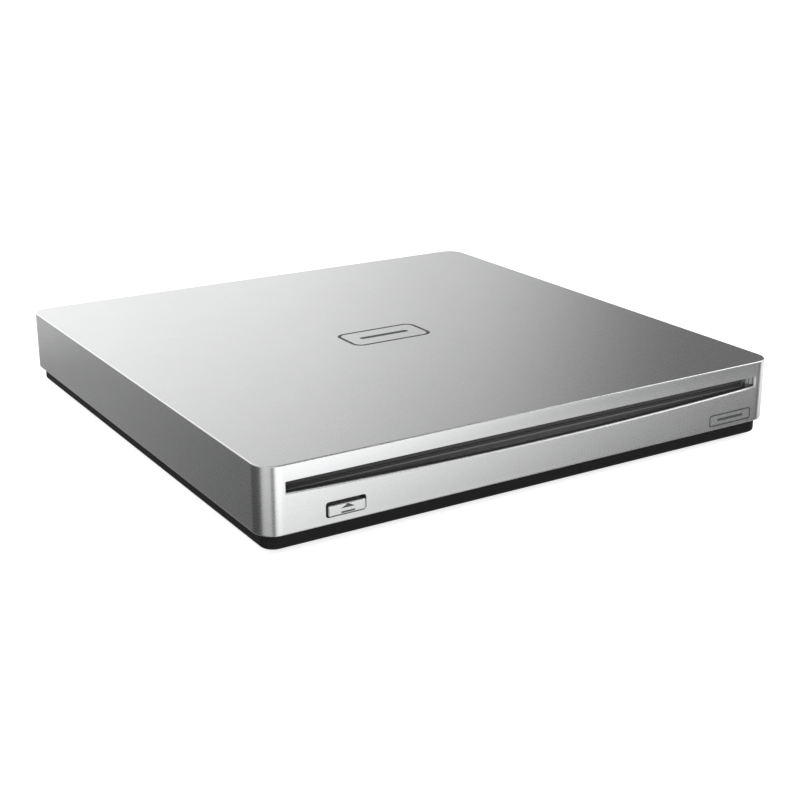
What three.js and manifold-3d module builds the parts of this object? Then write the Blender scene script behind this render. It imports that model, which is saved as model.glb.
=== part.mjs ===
// A slot-loading external optical drive: a silver one-piece cover on a black base tray, with the disc
// mechanism, the boards and the sockets inside it. Millimetres, +Z up, the slot faces -Y, and the origin is
// on the table, under the middle of the case.
import * as THREE from "three";
import { mergeVertices } from "three/addons/utils/BufferGeometryUtils.js";
import Module from "manifold-3d";

const wasm = await Module();
wasm.setup();

// ---------------------------------------------------------------- driving dimensions
const CASE = { width: 133, depth: 133, top: 19, corner: 4.5, wall: 1.5, lid: 1.3, edge: 0.3 };
const FOOT = { height: 1, radius: 4.5, sunk: 0.3, inset: 12.5 };
const BASE = { bottom: FOOT.height, inset: 1.4, ledgeTop: 4.3, floor: 1.75, bevel: 0.8 };
const RIM = { inset: 1.85, wall: 1, top: 7 }; // the part of the base that goes up inside the cover
const SKIRT = 4.5; // height of the cover's lower edge above the table
const SLOT = { half: 61.25, top: 15.5, endBottom: 13.1, midBottom: 11.8, lip: 0.7 };
const BUTTON = { x: -48.15, z: 7.6, width: 8.2, height: 2.4, gap: 0.4, proud: 0.5, corner: 0.45 };
const PORT = { usbX: 22, jackX: 36, usbWidth: 8.94, usbHeight: 3.26, jackBore: 2.15 };
const DISC = { x: 0, y: -2 }; // where a disc is centred
const MECH = { half: 63.4, front: -60, back: 62.6, floor: 3.6, plate: 0.8, top: 16.2, cut: 8 };
const SLIDER = { travel: 14, wallX: 44, rackX: 52.5, front: -58, back: 8, bottom: 4.7, thick: 0.8 };
const GEAR = { module: 0.5, wheelTeeth: 24, pinionTeeth: 12, y: -42, worm: 1.8, thread: 0.42, backlash: 0.3 };
const LIFT = { axleX: -58, axleZ: 8, rise: 2.3, pinX: 44.7, pinY: -2 };
const ARM = { bottom: 11.6, thick: 0.8, post: 1.2, postTop: 15.6, hub: 2.8, pin: 1.2 };
const LENS = { inner: -23 }; // the lens, from the disc's axis, at its innermost
const RUN = 0.1; // radial clearance of a pin in its bore

const HALF_W = CASE.width / 2;
const HALF_D = CASE.depth / 2;
const CAVITY_TOP = CASE.top - CASE.lid;
const FRONT_IN = -HALF_D + CASE.wall; // inner face of the front wall
const TILT = Math.atan(LIFT.rise / (DISC.x - LIFT.axleX)); // how far the traverse hangs down with no disc in

// ---------------------------------------------------------------- materials
function material(color, roughness, metalness) {
  return new THREE.MeshStandardMaterial({ color, roughness, metalness });
}
const SILVER = material(0xb9babb, 0.38, 0.85);
const BLACK = material(0x1b1b1c, 0.6, 0);
const RUBBER = material(0x151515, 0.9, 0);
const FELT = material(0x101011, 1, 0);
const STEEL = material(0xa7a9ab, 0.4, 1);
const ZINC = material(0x8b8e90, 0.5, 1);
const BRASS = material(0xb79a55, 0.35, 1);
const NATURAL = material(0xd8d4c8, 0.5, 0);
const CLEAR = material(0xd6e4ea, 0.15, 0);
const BOARD = material(0x17462c, 0.55, 0);
const CHIP = material(0x202022, 0.7, 0);

// ---------------------------------------------------------------- solids
// A closed three.js geometry as a manifold solid.
function solid(geometry) {
  const bare = geometry.index ? geometry.toNonIndexed() : geometry.clone();
  bare.deleteAttribute("normal");
  bare.deleteAttribute("uv");
  const merged = mergeVertices(bare, 1e-4);
  return new wasm.Manifold(
    new wasm.Mesh({
      numProp: 3,
      vertProperties: new Float32Array(merged.attributes.position.array),
      triVerts: new Uint32Array(merged.index.array),
    }),
  );
}

// A manifold solid back as a three.js geometry.
function geometryOf(made) {
  const mesh = made.getMesh();
  const geometry = new THREE.BufferGeometry();
  geometry.setAttribute("position", new THREE.BufferAttribute(new Float32Array(mesh.vertProperties), 3));
  geometry.setIndex(new THREE.BufferAttribute(new Uint32Array(mesh.triVerts), 1));
  const flat = geometry.toNonIndexed();
  flat.computeVertexNormals();
  return flat;
}

function box(x0, x1, y0, y1, z0, z1) {
  const g = new THREE.BoxGeometry(x1 - x0, y1 - y0, z1 - z0);
  return solid(g.translate((x0 + x1) / 2, (y0 + y1) / 2, (z0 + z1) / 2));
}

// A cylinder standing on z0 at (x, y).
function post(x, y, z0, z1, radius, sides = 20) {
  const g = new THREE.CylinderGeometry(radius, radius, z1 - z0, sides).rotateX(Math.PI / 2);
  return solid(g.translate(x, y, (z0 + z1) / 2));
}

// A cylinder along X, centred on (y, z).
function rodX(x0, x1, y, z, radius, sides = 16) {
  const g = new THREE.CylinderGeometry(radius, radius, x1 - x0, sides).rotateZ(Math.PI / 2);
  return solid(g.translate((x0 + x1) / 2, y, z));
}

// A cylinder along Y, centred on (x, z).
function rodY(y0, y1, x, z, radius, sides = 20) {
  return solid(new THREE.CylinderGeometry(radius, radius, y1 - y0, sides).translate(x, (y0 + y1) / 2, z));
}

// A flat outline in X and Y, raised from z0 to z1.
function prism(shape, z0, z1, curveSegments = 6) {
  const g = new THREE.ExtrudeGeometry(shape, { depth: z1 - z0, bevelEnabled: false, curveSegments });
  return solid(g.translate(0, 0, z0));
}

// A flat outline in X and Z, reaching from y0 to y1.
function wallPrism(shape, y0, y1, curveSegments = 6) {
  const g = new THREE.ExtrudeGeometry(shape, { depth: y1 - y0, bevelEnabled: false, curveSegments });
  return solid(g.rotateX(Math.PI / 2).translate(0, y1, 0));
}

// A rectangle with round corners, from (x0, y0) to (x1, y1).
function roundRect(x0, y0, x1, y1, r) {
  const s = new THREE.Shape();
  s.moveTo(x0 + r, y0);
  s.lineTo(x1 - r, y0);
  s.absarc(x1 - r, y0 + r, r, -Math.PI / 2, 0);
  s.absarc(x1 - r, y1 - r, r, 0, Math.PI / 2);
  s.absarc(x0 + r, y1 - r, r, Math.PI / 2, Math.PI);
  s.absarc(x0 + r, y0 + r, r, Math.PI, 1.5 * Math.PI);
  return s;
}

// The case's own outline, drawn in by `inset` on every side.
function caseOutline(inset) {
  const r = Math.max(CASE.corner - inset, 0.5);
  return roundRect(-HALF_W + inset, -HALF_D + inset, HALF_W - inset, HALF_D - inset, r);
}

// A slab of the case's outline, drawn in by `inset`, that narrows by `bevel` towards its top or its bottom.
function bevelled(inset, z0, z1, bevel, atTop) {
  const wide = caseOutline(inset).getPoints(6);
  const slim = caseOutline(inset + bevel).getPoints(6);
  const lower = atTop ? wide : slim;
  const upper = atTop ? slim : wide;
  const n = lower.length - (lower[0].distanceTo(lower[lower.length - 1]) < 1e-6 ? 1 : 0);
  const at = [];
  const quad = (a, b, c, d) => at.push(...a, ...b, ...c, ...a, ...c, ...d);
  for (let i = 0; i < n; i++) {
    const j = (i + 1) % n;
    const [a, b, c, d] = [
      [lower[i].x, lower[i].y, z0],
      [lower[j].x, lower[j].y, z0],
      [upper[j].x, upper[j].y, z1],
      [upper[i].x, upper[i].y, z1],
    ];
    quad(a, b, c, d);
    at.push(...[0, 0, z0], ...b, ...a);
    at.push(...[0, 0, z1], ...d, ...c);
  }
  const g = new THREE.BufferGeometry();
  return solid(g.setAttribute("position", new THREE.Float32BufferAttribute(at, 3)));
}

const root = new THREE.Group();

// Adds one named piece to a group.
function add(group, name, made, look, place = [0, 0, 0]) {
  const mesh = new THREE.Mesh(geometryOf(made), look);
  mesh.name = name;
  mesh.position.set(...place);
  group.add(mesh);
  return mesh;
}

// ---------------------------------------------------------------- the slot
// The slot's outline: a straight top, and a lower edge that bows down in the middle so that a disc's
// recorded side never rubs on it. `grow` opens the outline on every side.
function slotOutline(grow) {
  const half = SLOT.half + grow;
  const sag = SLOT.endBottom - SLOT.midBottom;
  const steps = 12;
  const s = new THREE.Shape();
  s.moveTo(half, SLOT.top + grow);
  s.lineTo(-half, SLOT.top + grow);
  for (let i = 0; i <= steps; i++) {
    const t = -1 + (2 * i) / steps;
    s.lineTo(half * t, SLOT.midBottom - grow + sag * t * t);
  }
  return s;
}

// ---------------------------------------------------------------- enclosure
const FRONT_SCREWS = [-36, 36].map((x) => [x, -61.9]);
const REAR_SCREWS = [-60.8, 60.8].map((x) => [x, 60.8]);
const MECH_SCREWS = [
  [-58, -52],
  [60, -26],
  [-59, 50],
  [59, 50],
];
const SCREW = { head: 1.9, smallHead: 1.5, headHeight: 1, shank: 0.85, pilot: 0.95 };

// The silver shell: lid and all four walls in one piece, open below. The slot, the button's window and the
// rear sockets' windows are cut through it, and it has four posts for the case screws.
function topCover() {
  const outer = prism(caseOutline(0), SKIRT, CASE.top - CASE.edge)
    .add(bevelled(0, CASE.top - CASE.edge, CASE.top, CASE.edge, true));
  let cover = outer.subtract(prism(caseOutline(CASE.wall), SKIRT - 1, CAVITY_TOP));
  for (const [x, y] of REAR_SCREWS) {
    cover = cover.add(post(x, y, RIM.top + 0.3, CAVITY_TOP + 0.2, 2.2));
    cover = cover.subtract(post(x, y, RIM.top, 13, SCREW.pilot, 12));
  }
  for (const [x, y] of FRONT_SCREWS) {
    cover = cover.add(post(x, y, RIM.top + 0.3, 10.6, 1.55, 16));
    cover = cover.add(box(x - 0.9, x + 0.9, FRONT_IN - 0.5, y, RIM.top + 0.3, 10.6));
    cover = cover.subtract(post(x, y, RIM.top, 10, SCREW.pilot, 10));
  }
  cover = cover.subtract(wallPrism(slotOutline(0), -HALF_D - 1, FRONT_IN + 1));
  cover = cover.subtract(box(-62.9, 62.9, -HALF_D + SLOT.lip, FRONT_IN + 0.3, 10.9, 16.6));
  cover = cover.subtract(wallPrism(buttonOutline(BUTTON.gap), -HALF_D - 1, FRONT_IN + 1, 4));
  const usb = roundRect(PORT.usbX - 4.8, 6.15, PORT.usbX + 4.8, 10.05, 1.9);
  cover = cover.subtract(wallPrism(usb, HALF_D - 3, HALF_D + 1, 5));
  return cover.subtract(rodY(HALF_D - 3, HALF_D + 1, PORT.jackX, 8.9, 2.75));
}

function buttonOutline(grow) {
  const w = BUTTON.width / 2 + grow;
  const h = BUTTON.height / 2 + grow;
  return roundRect(BUTTON.x - w, BUTTON.z - h, BUTTON.x + w, BUTTON.z + h, BUTTON.corner + grow * 0.4);
}

// The black tray that closes the cover from below and carries the mechanism. Its rim goes up inside the
// cover, and its ledge stands out a little under the cover's edge.
function baseTray() {
  const floorTop = BASE.bottom + BASE.floor;
  let tray = prism(caseOutline(RIM.inset), BASE.ledgeTop - 0.5, RIM.top)
    .add(prism(caseOutline(BASE.inset), BASE.bottom + BASE.bevel, BASE.ledgeTop))
    .add(bevelled(BASE.inset, BASE.bottom, BASE.bottom + BASE.bevel, BASE.bevel, false))
    .subtract(prism(caseOutline(RIM.inset + RIM.wall), floorTop, RIM.top + 1));
  for (const [x, y] of [...FRONT_SCREWS, ...REAR_SCREWS]) {
    tray = tray.add(post(x, y, floorTop - 0.2, RIM.top, y < 0 ? 1.65 : 2.4, 16));
    tray = tray.subtract(post(x, y, BASE.bottom - 1, RIM.top + 1, SCREW.shank + 0.25, 12));
    const head = y < 0 ? SCREW.smallHead : SCREW.head;
    tray = tray.subtract(post(x, y, BASE.bottom - 1, BASE.bottom + 1.3, head + 0.25, 16));
  }
  for (const [x, y] of MECH_SCREWS) {
    tray = tray.add(post(x, y, floorTop - 0.2, MECH.floor, 2.6, 14));
    tray = tray.subtract(post(x, y, BASE.bottom + 0.7, MECH.floor + 1, SCREW.pilot, 10));
  }
  for (const [x, y] of footPlaces()) {
    tray = tray.subtract(post(x, y, BASE.bottom - 1, BASE.bottom + FOOT.sunk, FOOT.radius + 0.15, 24));
  }
  tray = tray.subtract(box(BUTTON.x - 6.4, BUTTON.x + 6.4, -HALF_D, -62, 5, 8));
  return tray.subtract(box(PORT.usbX - 5.5, PORT.jackX + 4, 62, HALF_D, 5.3, 8));
}

function footPlaces() {
  const [x, y] = [HALF_W - FOOT.inset, HALF_D - FOOT.inset];
  return [
    [-x, -y],
    [x, -y],
    [-x, y],
    [x, y],
  ];
}

// A rubber foot with a bevelled rim, standing on its own origin.
function foot() {
  const top = FOOT.height + FOOT.sunk - 0.05;
  const profile = [
    [0, 0],
    [FOOT.radius - 0.3, 0],
    [FOOT.radius, 0.3],
    [FOOT.radius, top],
    [0, top],
  ].map(([x, y]) => new THREE.Vector2(x, y));
  return solid(new THREE.LatheGeometry(profile, 28).rotateX(Math.PI / 2));
}

// A pan-head screw with a cross recess, its head's face on its own origin and its shank up along +Z.
function screw(length, head = SCREW.head) {
  const cross = box(-0.9, 0.9, -0.2, 0.2, -1, 0.55).add(box(-0.2, 0.2, -0.9, 0.9, -1, 0.55));
  return post(0, 0, 0, SCREW.headHeight, head, 16)
    .add(post(0, 0, 0.5, length, SCREW.shank, 10))
    .subtract(cross);
}

function enclosure() {
  const group = new THREE.Group();
  add(group, "top_cover", topCover(), SILVER);
  add(group, "base_tray", baseTray(), BLACK);
  const corners = ["front_left", "front_right", "rear_left", "rear_right"];
  footPlaces().forEach(([x, y], i) => add(group, `foot_${corners[i]}`, foot(), RUBBER, [x, y, 0]));
  [...FRONT_SCREWS, ...REAR_SCREWS].forEach(([x, y], i) => {
    const made = y < 0 ? screw(7.6, SCREW.smallHead) : screw(9.6);
    add(group, `case_screw_${corners[i]}`, made, ZINC, [x, y, BASE.bottom + 0.25]);
  });
  return group;
}

// ---------------------------------------------------------------- front parts
const FRAME_FRONT = -HALF_D + SLOT.lip + 0.05; // just behind the slot's thinned lip
const GUIDE = { left: 58.95, right: 62.3, bottom: 12, top: 15.9 }; // the light guide's head

// The black frame behind the slot, which the felt lips are bonded to. Its right end is left open for the
// light guide.
function slotFrame() {
  const plate = box(-62.6, 62.6, FRAME_FRONT, -64.7, 11.05, 16.4);
  const room = box(GUIDE.left - 0.1, 63, -HALF_D, -64, GUIDE.bottom - 0.1, 17);
  return plate.subtract(wallPrism(slotOutline(0.1), -HALF_D, -64)).subtract(room);
}

// The clear block that shows the status lamp's light at the slot's right end, and the leg that brings the
// light up to it.
function lightPipe() {
  const head = box(GUIDE.left, GUIDE.right, FRAME_FRONT + 0.05, -62.4, GUIDE.bottom, GUIDE.top);
  return head.add(box(60.2, GUIDE.right, -63.7, -62.4, 8.7, GUIDE.bottom + 1));
}

// The silver eject key: a proud cap in the window, and a flange that keeps it from falling out.
function ejectButton() {
  const capFront = -HALF_D - BUTTON.proud;
  const flange = roundRect(BUTTON.x - 5.4, BUTTON.z - 1.9, BUTTON.x + 5.4, BUTTON.z + 1.9, 0.6);
  const nib = box(BUTTON.x - 1, BUTTON.x + 1, -64.2, -63.86, BUTTON.z - 0.8, BUTTON.z + 0.8);
  return wallPrism(buttonOutline(0), capFront, FRONT_IN + 0.2, 4)
    .add(wallPrism(flange, FRONT_IN + 0.1, -64.1, 4))
    .add(nib);
}

function frontParts() {
  const group = new THREE.Group();
  const feltY = [-64.65, -63.95];
  const feltX = [-SLOT.half, GUIDE.left - 0.15];
  add(group, "slot_frame", slotFrame(), BLACK);
  add(group, "slot_felt_upper", box(...feltX, ...feltY, 13.95, 16.9), FELT);
  add(group, "slot_felt_lower", box(...feltX, ...feltY, 10.9, 13.75), FELT);
  add(group, "light_pipe", lightPipe(), CLEAR);
  add(group, "status_led", box(60.3, 61.8, -63.4, -62.6, 7.75, 8.5), NATURAL);
  add(group, "status_board", box(53.5, 62.3, -63.4, -60.3, 6.9, 7.7), BOARD);
  add(group, "eject_button", ejectButton(), SILVER);
  const boardX = [BUTTON.x - 8, BUTTON.x + 8];
  add(group, "button_board", box(...boardX, -61.5, -60.5, 4, 11.4), BOARD);
  const dome = box(BUTTON.x - 1.8, BUTTON.x + 1.8, -62.9, -61.55, BUTTON.z - 1.5, BUTTON.z + 1.5)
    .add(rodY(-63.3, -62.8, BUTTON.x, BUTTON.z, 0.75, 14));
  add(group, "tact_switch", dome, CHIP);
  return group;
}

// ---------------------------------------------------------------- boards and sockets
const BOARD_TOP = 6.4;

// A stadium-shaped USB-C receptacle with its tongue, open towards +Y.
function usbSocket() {
  const [w, h] = [PORT.usbWidth / 2, PORT.usbHeight / 2];
  const z = BOARD_TOP + 0.1 + h;
  const skin = 0.3;
  const ring = (skin) => {
    const [left, right] = [PORT.usbX - w + skin, PORT.usbX + w - skin];
    return roundRect(left, z - h + skin, right, z + h - skin, h - skin - 0.02);
  };
  const shell = wallPrism(ring(0), 58.6, 66.3, 6).subtract(wallPrism(ring(skin), 60, 67, 6));
  return shell.add(box(PORT.usbX - 3.3, PORT.usbX + 3.3, 59.5, 65.6, z - 0.35, z + 0.35));
}

// A round DC socket with its centre pin, open towards +Y.
function dcJack() {
  const z = 8.9;
  return box(PORT.jackX - 3, PORT.jackX + 3, 55.5, 64.7, BOARD_TOP + 0.1, 11.5)
    .add(rodY(64, 66.3, PORT.jackX, z, 2.55, 24))
    .subtract(rodY(57, 67, PORT.jackX, z, PORT.jackBore, 20))
    .add(rodY(56.5, 65.6, PORT.jackX, z, 0.8, 12));
}

function electronics() {
  const group = new THREE.Group();
  add(group, "main_board", box(-46, 43, 28, 61, BOARD_TOP - 1, BOARD_TOP), BOARD);
  add(group, "controller_chip", box(-24, -10, 38, 52, BOARD_TOP + 0.1, 7.6), CHIP);
  add(group, "memory_chip", box(-3, 6, 40, 48, BOARD_TOP + 0.1, 7.4), CHIP);
  add(group, "power_inductor", post(24, 40, BOARD_TOP + 0.1, 9.2, 3.4, 16), CHIP);
  add(group, "usb_c_socket", usbSocket(), STEEL);
  add(group, "dc_jack", dcJack(), BLACK);
  return group;
}

// ---------------------------------------------------------------- mechanism housing
// The mechanism's outline, with its rear corners cut off to clear the cover's screw posts.
function mechOutline(inset, front) {
  const [h, b, cut] = [MECH.half - inset, MECH.back - inset, MECH.cut - inset * 0.6];
  const s = new THREE.Shape();
  s.moveTo(-h, front + inset);
  s.lineTo(h, front + inset);
  s.lineTo(h, b - cut);
  s.lineTo(h - cut, b);
  s.lineTo(-h + cut, b);
  s.lineTo(-h, b - cut);
  return s;
}

// The pressed steel tray: floor, low front wall, and side walls up to the cover plate.
function mechChassis() {
  const floorTop = MECH.floor + MECH.plate;
  let tray = prism(mechOutline(0, MECH.front), MECH.floor, MECH.top - 0.05);
  tray = tray.subtract(prism(mechOutline(MECH.plate, MECH.front), floorTop, MECH.top + 1));
  tray = tray.subtract(box(-60.6, 60.6, MECH.front - 1, MECH.front + 2, 11, MECH.top + 1));
  tray = tray.subtract(box(PORT.usbX - 6, PORT.jackX + 4.5, 60, MECH.back + 1, 5, 12.2));
  // The loading lever's tip swings out through the right wall here.
  tray = tray.subtract(box(61.5, MECH.half + 1, MECH.front + 1.5, -44, 11, MECH.top + 1));
  tray = tray.subtract(box(-24, 6, -24, -15, MECH.floor - 1, floorTop + 1)); // room under the sled motor
  for (const [x, y] of [
    [-44, 30],
    [41, 30],
    [-44, 59],
    [11, 59],
  ]) {
    tray = tray.add(post(x, y, floorTop - 0.2, BOARD_TOP - 1.05, 1.5, 12));
  }
  for (const [x, y] of MECH_SCREWS) tray = tray.subtract(post(x, y, 3, 5, SCREW.shank + 0.2, 10));
  for (const y of [-28.4, 22.4]) {
    tray = tray.add(box(LIFT.axleX - 2, LIFT.axleX + 2, y - 0.9, y + 0.9, floorTop - 0.2, LIFT.axleZ + 1.8));
    tray = tray.subtract(rodY(y - 2, y + 2, LIFT.axleX, LIFT.axleZ, 1.02, 12));
  }
  return tray;
}

// The steel plate over the disc, dished in the middle where the disc is pressed onto the hub.
function mechCover() {
  const plate = prism(mechOutline(0, -63.2), MECH.top, MECH.top + MECH.plate);
  const dish = post(DISC.x, DISC.y, MECH.top - 0.25, MECH.top + 0.1, 16, 32);
  return plate.add(dish).subtract(post(DISC.x, DISC.y, MECH.top - 1, MECH.top + 2, 5, 24));
}

function mechHousing() {
  const group = new THREE.Group();
  add(group, "mech_chassis", mechChassis(), STEEL);
  add(group, "mech_cover", mechCover(), STEEL);
  const flip = (x, y, i) => {
    const mesh = add(group, `mech_screw_${i + 1}`, screw(3.2), ZINC, [x, y, MECH.floor + MECH.plate + 1.05]);
    mesh.rotation.x = Math.PI;
  };
  MECH_SCREWS.forEach(([x, y], i) => flip(x, y, i));
  return group;
}

// ---------------------------------------------------------------- gears
// A spur gear's outline with a tooth (or a gap) on angle `start`.
function gearOutline(teeth, start, onGap) {
  const m = GEAR.module;
  const pitch = (m * teeth) / 2;
  const thick = (Math.PI * m) / 2 - GEAR.backlash / 2;
  const step = (2 * Math.PI) / teeth;
  const s = new THREE.Shape();
  for (let i = 0; i < teeth; i++) {
    const a = start + (i + (onGap ? 0.5 : 0)) * step;
    const root = [pitch - 1.2 * m, (thick + 0.5 * m) / 2 / pitch];
    const tip = [pitch + 0.85 * m, (thick - 0.5 * m) / 2 / pitch];
    const corners = [
      [root[0], a - root[1]],
      [tip[0], a - tip[1]],
      [tip[0], a + tip[1]],
      [root[0], a + root[1]],
    ];
    for (const [r, t] of corners) {
      const [x, y] = [r * Math.cos(t), r * Math.sin(t)];
      if (i === 0 && t === corners[0][1]) s.moveTo(x, y);
      else s.lineTo(x, y);
    }
  }
  return s;
}

// A screw thread as a cylinder along X whose radius rises and falls with the angle and the length.
function threaded(length, pitch, radius, depth, sides, rings, start) {
  const g = new THREE.CylinderGeometry(radius, radius, length, sides, rings).rotateZ(Math.PI / 2);
  const at = g.attributes.position;
  for (let i = 0; i < at.count; i++) {
    const [x, y, z] = [at.getX(i), at.getY(i), at.getZ(i)];
    const r = Math.hypot(y, z);
    if (r < radius / 2) continue;
    const phase = Math.atan2(z, y) - (2 * Math.PI * (x - start)) / pitch;
    const k = (radius + depth * Math.cos(phase)) / r;
    at.setXYZ(i, x, y * k, z * k);
  }
  return solid(g);
}

const GEAR_X = SLIDER.rackX + (GEAR.module * GEAR.pinionTeeth) / 2;
const WHEEL_R = (GEAR.module * GEAR.wheelTeeth) / 2;
const WORM_Y = GEAR.y - WHEEL_R - GEAR.worm - 0.15;
const WORM_Z = 8.1;

// The worm wheel and, under it, the pinion that drives the slider's rack.
function wormGear() {
  const wheel = prism(gearOutline(GEAR.wheelTeeth, -Math.PI / 2, true), 7.4, 8.8);
  const pinion = prism(gearOutline(GEAR.pinionTeeth, Math.PI, false), 4.75, 7.6);
  return wheel.add(pinion).add(post(0, 0, 8.4, 9.3, 1.9, 14)).subtract(post(0, 0, 4, 10, 0.8 + RUN, 14));
}

function loadingDrive() {
  const group = new THREE.Group();
  const can = rodX(30, 48.4, WORM_Y, WORM_Z, 3.9, 24)
    .intersect(box(29, 49, WORM_Y - 5, WORM_Y + 5, WORM_Z - 3, WORM_Z + 3))
    .add(rodX(28.9, 49.2, WORM_Y, WORM_Z, 1.4, 14))
    .subtract(rodX(40, 50, WORM_Y, WORM_Z, 0.6, 12));
  add(group, "loading_motor", can, STEEL);
  const pitch = Math.PI * GEAR.module;
  const worm = threaded(8, pitch, GEAR.worm, GEAR.thread, 12, 41, 0).add(rodX(-15, 4.6, 0, 0, 0.5, 10));
  add(group, "motor_worm", worm, BRASS, [GEAR_X, WORM_Y, WORM_Z]);
  add(group, "worm_gear", wormGear(), NATURAL, [GEAR_X, GEAR.y, 0]);
  const axle = post(0, 0, MECH.floor + MECH.plate + 0.02, 9.6, 0.8, 12);
  add(group, "gear_axle", axle, STEEL, [GEAR_X, GEAR.y, 0]);
  return group;
}

// The main slider: a base plate with the rack on its outer edge, and a wall with the ramp that lifts
// the traverse as the slider runs back.
function mainSlider() {
  const { wallX, rackX, front, back, bottom, thick } = SLIDER;
  const m = GEAR.module;
  const pitch = Math.PI * m;
  const rackRoot = rackX - 1.15 * m;
  let made = box(wallX, rackRoot, -36, back, bottom, bottom + thick);
  made = made.add(box(rackRoot - 2, rackRoot, front, -35, bottom, bottom + thick));
  made = made.add(box(wallX, wallX + 1.2, -20, back, bottom, 11.1));
  for (let k = -1; k <= 9; k++) {
    const y = GEAR.y - (k + 0.5) * pitch;
    const half = pitch / 4 - GEAR.backlash / 4;
    const tooth = new THREE.Shape();
    tooth.moveTo(rackRoot - 0.2, y - half - 0.3 * m);
    tooth.lineTo(rackX + 0.85 * m, y - half + 0.25 * m);
    tooth.lineTo(rackX + 0.85 * m, y + half - 0.25 * m);
    tooth.lineTo(rackRoot - 0.2, y + half + 0.3 * m);
    made = made.add(prism(tooth, bottom, bottom + thick));
  }
  return made.subtract(rampSlot());
}

// The slot in the slider's wall that the traverse's pin runs in.
function rampSlot() {
  const arm = LIFT.pinX - LIFT.axleX;
  const half = 0.85;
  const steps = 6;
  const height = (s) => LIFT.axleZ + arm * Math.sin(TILT * (s / SLIDER.travel - 1)) + PIN_RISE;
  const ramp = new THREE.Shape();
  ramp.moveTo(LIFT.pinY + 1.2, height(0) + half);
  const edge = (i, side) => {
    const moved = (i / steps) * SLIDER.travel;
    ramp.lineTo(LIFT.pinY - moved, height(moved) + side * half);
  };
  for (let i = 0; i <= steps; i++) edge(i, 1);
  ramp.lineTo(LIFT.pinY - SLIDER.travel - 1.2, height(SLIDER.travel) + half);
  ramp.lineTo(LIFT.pinY - SLIDER.travel - 1.2, height(SLIDER.travel) - half);
  for (let i = steps; i >= 0; i--) edge(i, -1);
  ramp.lineTo(LIFT.pinY + 1.2, height(0) - half);
  const g = new THREE.ExtrudeGeometry(ramp, { depth: 3, bevelEnabled: false });
  // The outline is drawn as (y, z); this turns its plane to face +X.
  g.applyMatrix4(new THREE.Matrix4().set(0, 0, 1, SLIDER.wallX - 1, 1, 0, 0, 0, 0, 1, 0, 0, 0, 0, 0, 1));
  return solid(g);
}

// ---------------------------------------------------------------- disc arms
// A flat arm along +X from its hub, with the post at its tip that meets the disc's edge.
function arm(length) {
  const s = new THREE.Shape();
  s.absarc(0, 0, ARM.hub, Math.PI * 0.42, Math.PI * 1.58);
  s.absarc(length, 0, 1.7, -Math.PI / 2, Math.PI / 2);
  const plate = prism(s, ARM.bottom, ARM.bottom + ARM.thick, 6);
  return plate
    .add(post(0, 0, ARM.bottom - 2, ARM.bottom + 0.2, ARM.hub - 0.4, 16))
    .add(post(length, 0, ARM.bottom + 0.3, ARM.postTop, ARM.post, 14))
    .subtract(post(0, 0, ARM.bottom - 3, ARM.bottom + 2, ARM.pin + RUN, 16));
}

const ARMS = [
  { name: "loading_arm", at: [58, -18], length: 37.8, rest: -85 },
  { name: "eject_arm", at: [50, 46], length: 44, rest: 208 },
  { name: "guide_arm", at: [-52, 40], length: 30, rest: -7.5 },
];

function discArms() {
  const group = new THREE.Group();
  for (const { name, at, length, rest } of ARMS) {
    const mesh = add(group, name, arm(length), STEEL, [...at, 0]);
    mesh.rotation.z = THREE.MathUtils.degToRad(rest);
    const pin = post(0, 0, MECH.floor + MECH.plate + 0.02, ARM.bottom + ARM.thick + 0.3, ARM.pin, 16)
      .add(post(0, 0, MECH.floor + MECH.plate + 0.02, ARM.bottom - 2.3, ARM.pin + 0.8, 14));
    add(group, `${name}_pin`, pin, STEEL, [...at, 0]);
  }
  return group;
}

// ---------------------------------------------------------------- traverse
const PIN_RISE = 1.7; // the lift pin above the axle when the traverse is level
const FRAME_Z = [9, 10.6];
const ROD_Z = 8.2;
const MAIN_ROD_Y = DISC.y - 13.5;
const AUX_ROD_Y = DISC.y + 14;
const SCREW_Y = DISC.y - 17.7;
const SCREW_Z = 7.9;

// The cast frame that carries the spindle and the pickup's rods, drawn level. It is open towards -X, where
// the pickup runs out past its axle.
function traverseFrame() {
  const { axleX, axleZ } = LIFT;
  let frame = box(-13, 15, -26, 20, ...FRAME_Z);
  frame = frame.add(box(axleX - 2.4, -12, -26, -22.6, ...FRAME_Z));
  frame = frame.add(box(axleX - 2.4, -12, 16.4, 20, ...FRAME_Z));
  frame = frame.add(box(14, LIFT.pinX - 2.5, DISC.y - 5, DISC.y + 5, ...FRAME_Z));
  for (const [y0, y1] of [
    [-26, -22.6],
    [16.4, 20],
  ]) {
    frame = frame.add(box(axleX - 2.4, axleX + 2.4, y0, y1, axleZ - 2, FRAME_Z[1]));
  }
  frame = frame.subtract(rodY(-27, 21, axleX, axleZ, 1 + RUN, 16));
  for (const y of [MAIN_ROD_Y, AUX_ROD_Y]) {
    const out = y < 0 ? [-26, y + 1.6] : [y - 1.6, 20];
    frame = frame.add(box(axleX - 3.2, axleX - 1.2, ...out, FRAME_Z[0] - 2, FRAME_Z[1]));
    frame = frame.add(box(-13, -10.5, y - 1.6, y + 1.6, FRAME_Z[0] - 2, FRAME_Z[1]));
    frame = frame.subtract(rodX(axleX - 2.6, -11.4, y, ROD_Z, 0.8, 12));
  }
  frame = frame.subtract(box(-14, 2.5, SCREW_Y - 2.8, SCREW_Y + 2.4, 8, 12)); // window over the sled motor
  frame = frame.subtract(post(DISC.x, DISC.y, 8, 12, 9.2, 28));
  return frame.add(rodX(LIFT.pinX - 3.5, LIFT.pinX + 0.3, LIFT.pinY, axleZ + PIN_RISE, 0.6, 12));
}

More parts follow.
